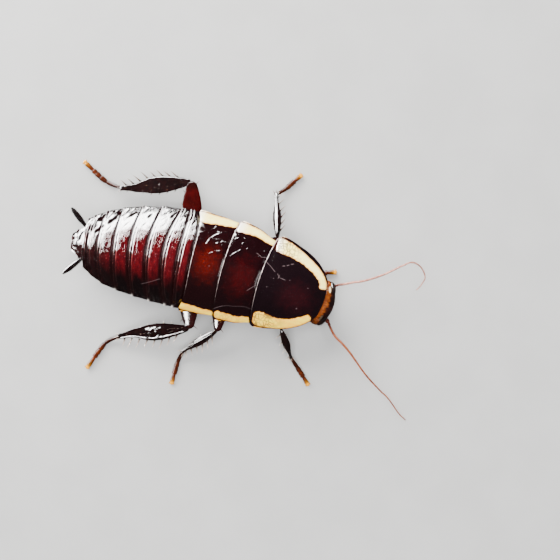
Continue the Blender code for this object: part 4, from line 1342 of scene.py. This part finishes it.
def build_antennae():
    """Each feeler: scape, pedicel and a whip of some seventy rings with fine bristles."""
    # The left feeler is painted paler and pinker than the right: painted highlight on the left one, painted
    # shade on the right one.
    tones = {
        "left": ((0.22, 0.08, 0.055), (0.42, 0.20, 0.15)),
        "right": ((0.11, 0.022, 0.009), (0.25, 0.066, 0.022)),
    }
    for side, route in ANTENNA_ROUTES.items():
        material = antenna_material(side, *tones[side])
        sign = 1 if side == "left" else -1
        root = head_world(SOCKET * (1, sign, 1) - (0.05, 0, 0))
        path = smooth_path([root, *route], 10)
        length = np.linalg.norm(np.diff(path, axis=0), axis=1).sum()
        bounds = [0.0, SCAPE_END / length, PEDICEL_END / length]
        while bounds[-1] < 0.999:
            bounds.append(min(1.0, bounds[-1] + (0.19 + 0.12 * bounds[-1]) / length))

        def radius(middle, t):
            if middle < bounds[1]:
                return 0.25 + 0.05 * math.sin(math.pi * t)
            if middle < bounds[2]:
                return 0.2
            thin = 0.175 - 0.10 * max(0.0, middle - 0.15) / 0.85
            return thin * (0.9 + 0.16 * t)
        points, faces = beaded(path, radius, bounds, 6, 14)
        bundle = Bundle()
        marks = np.repeat(np.linspace(0, 1, (len(points) - 2) // 14), 14)
        bundle.add(points, faces, np.concatenate([marks, [0, 1]]))
        pick = random.Random(5 if side == "left" else 6)
        for low, high in zip(bounds[2:], bounds[3:]):
            at = resampled(path, [low + 0.8 * (high - low), high])
            onward = (at[1] - at[0]) / (np.linalg.norm(at[1] - at[0]) + 1e-9)
            for _ in range(BRISTLES_PER_RING):
                out = any_side(pick, onward)
                thick = radius(low, 1)
                base = at[0] + out * thick * 0.8
                bundle.add(*hair_mesh(base, out + onward * 1.1, 0.14, 0.010), 0.5)
        nodes = [f"antenna_{side}_{part}" for part in ("base", "middle", "tip")]
        bundle.piece(f"feeler_{side}", material, nodes)


# Legs.

LEGS = {
    "front_left": {
        "coxa": ((13.4, 2.2), (10.3, 0.8)),
        "knee": (12.9, 4.5, 2.2),
        "ankle": (15.3, 1.55, 0.95),
        "foot": [(16.9, 1.75, 0.33), (17.9, 2.1, 0.28), (18.9, 2.4, 0.3)],
    },
    "front_right": {
        "coxa": ((13.4, -2.3), (10.2, -0.8)),
        "knee": (13.5, -6.25, 2.7),
        "ankle": (15.75, -10.0, 0.95),
        "foot": [(16.85, -11.1, 0.33), (17.6, -11.85, 0.28), (18.6, -12.9, 0.3)],
    },
    "middle_left": {
        "coxa": ((8.7, 2.4), (5.6, 0.95)),
        "knee": (10.6, 4.9, 2.4),
        "ankle": (9.15, 10.9, 0.95),
        "foot": [(10.15, 11.85, 0.33), (10.85, 12.8, 0.28), (11.7, 13.95, 0.3)],
    },
    "middle_right": {
        "coxa": ((8.6, -2.7), (4.9, -0.95)),
        "knee": (5.55, -8.35, 3.0),
        "ankle": (1.45, -12.3, 0.95),
        "foot": [(1.1, -13.7, 0.33), (1.0, -14.8, 0.28), (0.9, -16.6, 0.3)],
    },
    "hind_left": {
        "coxa": ((3.6, 3.0), (-0.1, 1.1)),
        "knee": (-1.85, 9.75, 2.95),
        "ankle": (-11.2, 7.15, 0.95),
        "foot": [(-13.0, 7.5, 0.36), (-14.4, 8.1, 0.28), (-16.7, 9.5, 0.3)],
    },
    "hind_right": {
        "coxa": ((3.6, -3.0), (-0.1, -1.1)),
        "knee": (1.95, -8.8, 3.1),
        "ankle": (-7.2, -12.1, 0.95),
        "foot": [(-8.7, -13.2, 0.36), (-9.5, -14.6, 0.28), (-10.5, -17.0, 0.3)],
    },
}
END_ROUNDING = 0.28
COXA_HEIGHT = 2.66
FEMUR_ROOT_HEIGHT = 1.22
COXA_SHAPE = ((0.0, 0.7, 0.34), (0.15, 0.95, 0.36), (0.5, 1.0, 0.36), (0.85, 0.65, 0.34), (1.0, 0.4, 0.28))
FEMUR_SHAPE = (
    (0.0, 0.35, 0.32), (0.06, 0.5, 0.42), (0.25, 1.0, 0.5), (0.5, 1.22, 0.5),
    (0.72, 1.18, 0.46), (0.88, 0.85, 0.42), (0.96, 0.62, 0.38), (1.0, 0.42, 0.28),
)
TIBIA_SHAPE = (
    (0.0, 0.33, 0.3), (0.06, 0.5, 0.38), (0.24, 0.9, 0.45), (0.43, 1.12, 0.46),
    (0.56, 1.04, 0.42), (0.7, 0.7, 0.37), (0.85, 0.42, 0.33), (1.0, 0.34, 0.3),
)
SPINE_MARKS = np.repeat(np.append(np.linspace(0.0, 1, 7), [0.0, 1]), [7] * 7 + [1, 1])
SPINE_COUNTS = {"front": 4, "middle": 6, "hind": 8}
SPINE_LENGTHS = {"front": 0.62, "middle": 0.85, "hind": 0.95}
FOOT_BREADTH = {"front": 0.98, "middle": 1.0, "hind": 1.0}
FOOT_BRISTLES = 60
FOOT_JOINTS = (0.0, 0.40, 0.55, 0.67, 0.76, 1.0)
BREADTH = {"front": 0.62, "middle": 0.78, "hind": 1.0}
# The front and middle tibiae are slimmer than in the solids.
TIBIA_BREADTH = {"front": 0.44, "middle": 0.48, "hind": 1.0}


def shape_at(shape, share):
    """Half breadth and half thickness of a limb at shares of its length, smoothly."""
    table = np.array(shape)
    tangents = np.gradient(table[:, 1:], table[:, 0], axis=0)
    share = np.clip(np.asarray(share, float), 0, 1)
    cell = np.clip(np.searchsorted(table[:, 0], share, "right") - 1, 0, len(table) - 2)
    low, high = table[cell], table[cell + 1]
    width = (high[:, 0] - low[:, 0])[:, None]
    t = ((share - low[:, 0]) / width[:, 0])[:, None]
    return (
        (2 * t**3 - 3 * t**2 + 1) * low[:, 1:] + (t**3 - 2 * t**2 + t) * width * tangents[cell]
        + (3 * t**2 - 2 * t**3) * high[:, 1:] + (t**3 - t**2) * width * tangents[cell + 1]
    )


def limb_axes(start, end):
    axis = np.asarray(end, float) - np.asarray(start, float)
    length = np.linalg.norm(axis)
    axis /= length
    breadth = unit(np.cross([0, 0, 1.0], axis))
    return axis, breadth, np.cross(axis, breadth), length


def limb_core(start, end, shape, scale, rows):
    """A limb's side directions and length, its middle line, places on it and half sizes there."""
    axis, breadth, thick, length = limb_axes(start, end)
    share = crowded(rows)
    ends = np.minimum(share, 1 - share) * length
    cap = np.sqrt(1 - (1 - np.clip(ends / END_ROUNDING, 0.02, 1)) ** 2)
    halves = shape_at(shape, share) * cap[:, None]
    halves[:, 0] = np.maximum(halves[:, 0] * scale, 0.2 * cap)
    line = (start + axis * (share * length)[:, None])[:, None]
    return breadth, thick, length, line, share, halves


def blade_mesh(start, end, scale, rank, outer, rows=120, sides=100):
    """A flattened tibia: thick outer edge, thin inner edge and a raised line along its top."""
    breadth, thick, length, line, share, halves = limb_core(start, end, TIBIA_SHAPE, scale, rows)
    angle = np.linspace(0, math.tau, sides, endpoint=False)[None, :]
    b = np.cos(angle)
    out = b > 0
    top = np.where(out, np.sqrt(np.clip(1 - abs(b) ** 6, 0, 1)), 1 - 0.12 * b * b)
    low = np.where(out, -np.sqrt(np.clip(1 - abs(b) ** 4, 0, 1)), 0.80 * b**4 - (1 - abs(b) ** 2.5) ** 0.6)
    high = np.where(np.sin(angle) >= 0, top, low)
    middle = (share[:, None] > 0.08) & (share[:, None] < 0.92)
    left = start[1] > 0
    at, wide = (0.15 if left else -0.1), 0.42
    if rank == "hind":
        at, wide = (0.84, 0.09) if left else (0.72, 0.14)
    upper = np.sin(angle) > -0.1
    if rank == "hind":
        high = high + (0.3 if outer * breadth[1] > 0 else -0.3) * b * middle
    rim = (0.14 if left else 0.40) if rank == "hind" else 0.55
    high = high + rim * bell(b - at, wide) * upper * eased(share[:, None] / 0.1) * eased(
        (1 - share[:, None]) / 0.12)
    if rank == "hind" and not left:
        swell = np.exp(-(((share[:, None] - 0.45) / 0.14) ** 4)) * np.exp(-(((b - 0.08) / 0.62) ** 4))
        wave = 14 * b * halves[:, :1] + 2.5 * lumps(share[:, None] * length, 2 * b, 19, 0.8)
        high = high + (0.35 - 0.60 * b + 0.16 * np.sin(wave)) * swell * upper
    ripple = 0.008 * lumps(share[:, None] * length, 2 * angle, 9, 1.1)
    aside = -0.16 * bell(share - 0.77, 0.12)[:, None] * (rank == "hind")
    points = (
        line
        + breadth * outer * (halves[:, :1] * (b + ripple) + aside)[..., None]
        + thick * (halves[:, 1:] * (high + ripple))[..., None]
    )
    return tube_mesh(points if outer > 0 else points[:, ::-1])


def limb_mesh(start, end, shape, scale, rows, sides, keel, seed, square=0.7, roll=0.0):
    """A limb with rounded ends, blunt edges and a light unevenness."""
    breadth, thick, length, line, share, halves = limb_core(start, end, shape, scale, rows)
    angle = np.linspace(0, math.tau, sides, endpoint=False)
    cosine, sine = np.cos(angle), np.sin(angle)
    wide = np.sign(cosine) * abs(cosine) ** 0.95
    high = np.sign(sine) * abs(sine) ** square
    ripple = 0.012 * lumps(share[:, None] * length, 2 * angle[None, :], seed, 1.1)
    points = (
        line
        + breadth * (halves[:, :1] * (wide[None] + ripple))[..., None]
        + thick * (halves[:, 1:] * (high[None] * (1 - keel * (sine < 0) * abs(cosine)) + ripple))[..., None]
        + thick * (halves[:, :1] * roll * wide[None] * eased((share[:, None] - 0.35) / 0.2))[..., None]
    )
    return tube_mesh(points)


def limb_marks(rows, sides, dark_from):
    """Marks that darken a limb towards its far end, for the points of limb_mesh."""
    share = crowded(rows)
    dark = -eased((share - dark_from) / 0.1)
    return np.concatenate([np.repeat(dark, sides), [dark[0], dark[-1]]])


def add_spines(bundle, start, end, shape, scale, shares, side, lift, size, pick, slant, thick):
    """A row of spines along a limb's edge (side -1 or 1) or its top or underside (side 0)."""
    axis, breadth, upright, length = limb_axes(start, end)
    for share in shares:
        half = shape_at(shape, [share])[0] * (scale, 1)
        if side:
            base = start + axis * length * share + breadth * side * (half[0] - 0.05)
            out = breadth * side + upright * (lift + pick.uniform(-0.15, 0.15))
        else:
            base = start + axis * length * share + upright * np.sign(lift) * (half[1] - 0.05)
            out = upright * np.sign(lift) + breadth * pick.uniform(-0.35, 0.35)
        direction = out + axis * (slant + pick.uniform(-0.15, 0.15))
        grown = size * pick.uniform(0.8, 1.15)
        bend = axis * pick.uniform(0.08, 0.22)
        bundle.add(*spine_mesh(base, direction, grown, thick, bend=bend), SPINE_MARKS)


def add_bristles(bundle, start, end, shape, scale, count, size, pick):
    """Short fine hairs lying along a limb."""
    axis, breadth, upright, length = limb_axes(start, end)
    for _ in range(count):
        share = pick.uniform(0.06, 0.96)
        angle = pick.uniform(0, math.tau)
        half = shape_at(shape, [share])[0] * (scale, 1)
        out = breadth * math.cos(angle) + upright * math.sin(angle)
        base = start + axis * length * share + breadth * half[0] * 0.97 * math.cos(angle)
        base = base + upright * half[1] * 0.97 * math.sin(angle)
        bundle.add(*hair_mesh(base, out * 0.7 + axis, size * pick.uniform(0.7, 1.3), 0.011), 0.6)


def add_tibia_spines(bundle, start, ankle, scale, rank, side, outer, pick):
    """Long spines on the outer edge, shorter ones inside, above and below, and end spurs."""
    axis, breadth, upright, length = limb_axes(start, ankle)
    count, long = SPINE_COUNTS[rank], SPINE_LENGTHS[rank]
    slant = 0.75 if side == "left" else 0.35
    rows = (
        (np.linspace(0.18, 0.92, count), outer, 0.15, 1.25 * long, slant, 0.10),
        (np.linspace(0.22, 0.90, count - 1), -outer, -0.5, 0.4 * long, slant, 0.06),
        (np.linspace(0.42, 0.60, 2), 0, 1, 0.22, 1.6, 0.03),
        (np.linspace(0.5, 0.9, 3), 0, -1, 0.45, 1.2, 0.05),
    )
    for shares, edge, lift, size, lean_on, thick in rows:
        add_spines(bundle, start, ankle, TIBIA_SHAPE, scale, shares, edge, lift, size, pick, lean_on, thick)
    for turn in range(6):
        angle = math.tau * (turn + 0.5) / 6
        out = breadth * math.cos(angle) + upright * math.sin(angle) * (0.7 if math.sin(angle) > 0 else 0.35)
        base = ankle - axis * 0.12 + out * 0.2
        bundle.add(*spine_mesh(base, out * 0.7 + axis, 0.7 * long, 0.06, bend=axis * 0.1), SPINE_MARKS)


def build_foot(name, leg, knee, ankle, foot, material, rank):
    onward = unit(ankle - knee)
    root = ankle - onward * 0.1
    path = smooth_path([root, *foot], 16)
    bundle = Bundle()
    slim = FOOT_BREADTH[rank]

    def radius(middle, t):
        if middle > 0.8:
            return slim * (0.24 + 0.08 * t)
        return slim * (0.19 + 0.14 * float(eased(middle / 0.55)) + 0.05 * t)
    points, faces = beaded(path, radius, FOOT_JOINTS, 12, 20)
    shares = np.repeat(np.linspace(0, 1, (len(points) - 2) // 20), 20)
    places, tones = (0, 0.15, 0.45, 0.7, 0.85, 0.95, 1), (-0.95, -0.8, -0.35, -0.15, -0.03, 0.15, 0.7)
    bundle.add(points, faces, np.interp(np.concatenate([shares, [0, 1]]), places, tones))
    forward = unit(path[-1] - path[-6])
    across = unit(np.cross([0, 0, 1.0], forward))
    ball, ball_faces = sphere_grid(16, 22)
    for high in FOOT_JOINTS[1:-1]:
        at = resampled(path, [high - 0.02])[0]
        bundle.add(at + ball * (0.17, 0.17, 0.1) - (0, 0, 0.16), ball_faces, 0.5)
    pick = random.Random(leg)
    for _ in range(FOOT_BRISTLES):
        share = pick.uniform(0.03, 0.92)
        at = resampled(path, [share])[0]
        out = across * pick.choice((-1, 1)) * pick.uniform(0.5, 1)
        out = out + (0, 0, pick.uniform(-0.5, 0.4))
        bundle.add(*hair_mesh(at + out * 0.15, out + forward * 1.2, 0.2, 0.014), 0.1)
    tip = path[-1]
    bundle.add(tip + ball * 0.9 @ np.diag((0.32, 0.32, 0.16)) + forward * 0.10, ball_faces, 1.0)
    for side in (-1, 1):
        base = tip - forward * 0.12 + across * side * 0.1 + (0, 0, 0.02)
        bend = -across * side * 0.25 + np.array([0, 0, -0.3])
        direction = forward + across * side * 0.85 + (0, 0, 0.22)
        bundle.add(*spine_mesh(base, direction, 0.66, 0.10, bend, 8, 10, False), 0.75)
    for points in bundle.points:
        points[:, 2] = np.maximum(points[:, 2], 0.0)
    bundle.piece("jointed_" + name, material, [name])


def build_legs():
    # The right femora are painted darker than the left ones: painted shade.
    reds = {side: horn_material(
        "shell-femur-" + side, low, high, (0.008, 0.001, 0.001),
        (0.08, 0.16), strength=0.1, mark=(0.10, 0.03, 0.015), deep=(0.010, 0.0016, 0.0014)
    ) for side, low, high in (("left", (0.020, 0.0011, 0.0013), (0.038, 0.0020, 0.0018)),
                              ("right", (0.006, 0.0012, 0.0013), (0.020, 0.0018, 0.0016)))}
    dull(reds["left"], 0.06)
    brown = horn_material(
        "shell-coxa", (0.030, 0.004, 0.0020), (0.065, 0.010, 0.004), (0.014, 0.0025, 0.0016),
        (0.16, 0.3), mark=(0.14, 0.04, 0.015)
    )
    # The spines and hairs of the right legs are painted pale as highlights; on the left legs they are dark
    # brown.
    tibia = {side: horn_material(
        "shell-tibia-" + side, (0.0030, 0.0012, 0.0013), (0.0085, 0.0022, 0.0022), (0.0022, 0.0010, 0.0010),
        (0.08, 0.20), strength=0.12, mark=pale
    ) for side, pale in (("left", (0.16, 0.075, 0.04)), ("right", (0.66, 0.50, 0.40)))}
    orange = horn_material(
        "shell-foot", (0.040, 0.006, 0.002), (0.105, 0.020, 0.004), (0.02, 0.003, 0.002),
        (0.15, 0.3), mark=(0.52, 0.22, 0.008), deep=(0.008, 0.002, 0.0015)
    )
    dull(orange, 0.08)
    for leg, joints in LEGS.items():
        rank, side = leg.split("_")
        sign = 1 if side == "left" else -1
        scale = BREADTH[rank]
        pick = random.Random(leg + "spines")
        (base_along, base_across), (tip_along, tip_across) = joints["coxa"]
        base = place(base_along + 0.1, base_across, COXA_HEIGHT + 0.12)
        tip = place(tip_along - 0.05, tip_across, COXA_HEIGHT - 0.1)
        bundle = Bundle()
        bundle.add(*limb_mesh(base, tip, COXA_SHAPE, 0.75 + 0.25 * scale, 60, 40, 0.1, 3))
        ball, faces = sphere_grid(40, 48)
        knob = place(tip_along, tip_across, 1.8)
        bundle.add(knob + ball * (0.42, 0.36, 0.62), faces, 0.35)
        bundle.piece("shell_coxa_" + leg, brown, ["coxa_" + leg])
        knee = np.array(joints["knee"])
        root = place(tip_along, tip_across, FEMUR_ROOT_HEIGHT)
        end = knee + unit(knee - root) * 0.12
        bundle = Bundle()
        square, roll = (0.5, 0.0) if side == "left" else (0.8, 0.4)
        limb = limb_mesh(root, end, FEMUR_SHAPE, scale, 80, 64, 0.12, 5, square=square, roll=roll)
        bundle.add(*limb, limb_marks(80, 64, 0.84))
        shares = np.linspace(0.3, 0.85, 4)
        add_spines(bundle, root, knee, FEMUR_SHAPE, scale, shares, sign, -0.9, 0.55, pick, 0.8, 0.05)
        add_spines(bundle, root, knee, FEMUR_SHAPE, scale, [0.97], -sign, 0.4, 0.7, pick, 0.8, 0.06)
        add_bristles(bundle, root, knee, FEMUR_SHAPE, scale, 60, 0.18, pick)
        bundle.piece("shell_femur_" + leg, reds[side], ["femur_" + leg])
        ankle = np.array(joints["ankle"])
        axis, breadth, _, _ = limb_axes(knee, ankle)
        outer = 1 if breadth[1] * sign > 0 else -1
        start = knee + axis * 0.1
        scale = TIBIA_BREADTH[rank]
        bundle = Bundle()
        bundle.add(*blade_mesh(start, ankle + axis * 0.1, scale, rank, outer))
        add_tibia_spines(bundle, start, ankle, scale, rank, side, outer, pick)
        add_bristles(bundle, start, ankle, TIBIA_SHAPE, scale, 110, 0.2, pick)
        bundle.piece("shell_tibia_" + leg, tibia[side], ["tibia_" + leg])
        foot = [np.array(p) for p in joints["foot"]]
        build_foot(f"tarsus_{leg}", leg, knee, ankle, foot, orange, rank)


# Cerci.

CERCUS_BRISTLES = 70
CERCUS_TAPER = (
    (0.0, 0.2), (0.15, 0.28), (0.4, 0.38), (0.65, 0.38), (0.86, 0.28), (0.96, 0.16), (1.0, 0.06),
)
CERCI = {
    "left": ((-14.25, 1.42, 3.2), (-16.3, 3.15, 3.3)),
    "right": ((-13.8, -3.27, 3.2), (-15.6, -5.5, 3.3)),
}


def build_cerci():
    materials = {side: horn_material(
        "shell-cercus-" + side, (0.0020, 0.0010, 0.0010), (0.0035, 0.0014, 0.0014),
        (0.0015, 0.0008, 0.0008), (0.08, 0.14), strength=0.04,
        mark=(0.006, 0.003, 0.003), deep=(0.003, 0.001, 0.001)
    ) for side in CERCI}
    dull(materials["left"], 0.02)
    for side, (base, tip) in CERCI.items():
        base, tip = np.array(base), np.array(tip)
        axis = unit(tip - base)
        base = base - axis * 0.5
        path = smooth_path([base, (base + tip) / 2 + (0, 0, 0.05), tip], 12)

        def radius(middle, t):
            shares, halves = zip(*CERCUS_TAPER)
            return float(np.interp(middle + (t - 0.5) / 11, shares, halves)) * (0.97 + 0.05 * t)
        bundle = Bundle()
        bundle.add(*beaded(path, radius, np.linspace(0, 1, 12), 7, 24, 0.8), -0.5)
        pick = random.Random(side)
        for _ in range(CERCUS_BRISTLES):
            share = pick.uniform(0.15, 0.98)
            at = resampled(path, [share])[0]
            out = any_side(pick, axis)
            thick = radius(share, 0.5)
            at = at + out * thick * 0.85 * (1, 1, 0.8)
            bundle.add(*hair_mesh(at, out + axis * 0.6, 0.22, 0.010), 0.6)
        bundle.piece("ringed_cercus_" + side, materials[side], ["cercus_" + side])


# Camera, floor and light.

def world_point(x, y, z):
    return Vector((x + SHIFT[0], y + SHIFT[1], z + SHIFT[2])) * 0.001


def soft_light(name, at, target, size, radiance, colour, diffuse, glossy):
    """A rectangular lamp of a given brightness, which may light only, or only be mirrored."""
    data = bpy.data.lights.new(name, "AREA")
    data.shape = "RECTANGLE"
    data.size, data.size_y = size
    data.energy = radiance * math.pi * size[0] * size[1]
    data.color = colour
    lamp = put(name, data)
    lamp.location = at
    lamp.rotation_euler = (target - at).to_track_quat("-Z", "Y").to_euler()
    lamp.visible_diffuse = diffuse
    lamp.visible_glossy = glossy
    lamp.visible_camera = False


def build_stage():
    """Camera, floor and light. The camera looks straight down, with the body 12.5 degrees
    clockwise of level."""
    lens = bpy.data.cameras.new("camera")
    lens.sensor_width = SENSOR
    lens.lens = SENSOR / 2 / math.tan(CAMERA_FIELD / 2)
    lens.clip_start = 0.001
    lens.clip_end = 10
    camera = put("camera", lens)
    camera.location = world_point(*CAMERA_AT)
    camera.rotation_euler = (0, 0, CAMERA_TURN)
    bpy.context.scene.camera = camera
    mesh = bpy.data.meshes.new("floor")
    half = 1.2
    corners = [(-half, -half, 0), (half, -half, 0), (half, half, 0), (-half, half, 0)]
    mesh.from_pydata(corners, [], [(0, 1, 2, 3)])
    floor = put("floor", mesh)
    material, net, shader = tree("floor-pale")
    tone = noise(net, coordinates(net), 0.12, 3.0)
    pale = mixed(net, span(net, tone, 0.3, 0.7), (0.285, 0.282, 0.275), (0.305, 0.302, 0.295))
    feed(shader, {"Base Color": pale, "Roughness": 0.9})
    mesh.materials.append(material)
    floor.visible_glossy = False
    for name, at, aim, size, radiance, colour, diffuse, glossy in LAMPS:
        soft_light(name, world_point(*at), world_point(0, 0, aim), size, radiance, colour, diffuse, glossy)
    world = bpy.data.worlds.new("studio")
    world.use_nodes = True
    feed(world.node_tree.nodes["Background"], {"Color": (1, 1, 1), "Strength": WORLD})
    bpy.context.scene.world = world


def main():
    build_back()
    material, hind, front_bow = build_abdomen()
    build_tail(material, hind, front_bow)
    build_skin(horn_material(
        "skin-soft", (0.20, 0.06, 0.03), (0.32, 0.11, 0.05), (0.10, 0.03, 0.02), (0.35, 0.55)))
    build_breast(horn_material(
        "shell-breast", (0.12, 0.02, 0.01), (0.2, 0.04, 0.016), (0.05, 0.01, 0.008)))
    build_head()
    build_palps(horn_material(
        "shell-palp", (0.30, 0.09, 0.025), (0.5, 0.19, 0.05), (0.14, 0.04, 0.02), (0.25, 0.45)))
    build_antennae()
    build_legs()
    build_cerci()
    build_stage()


main()
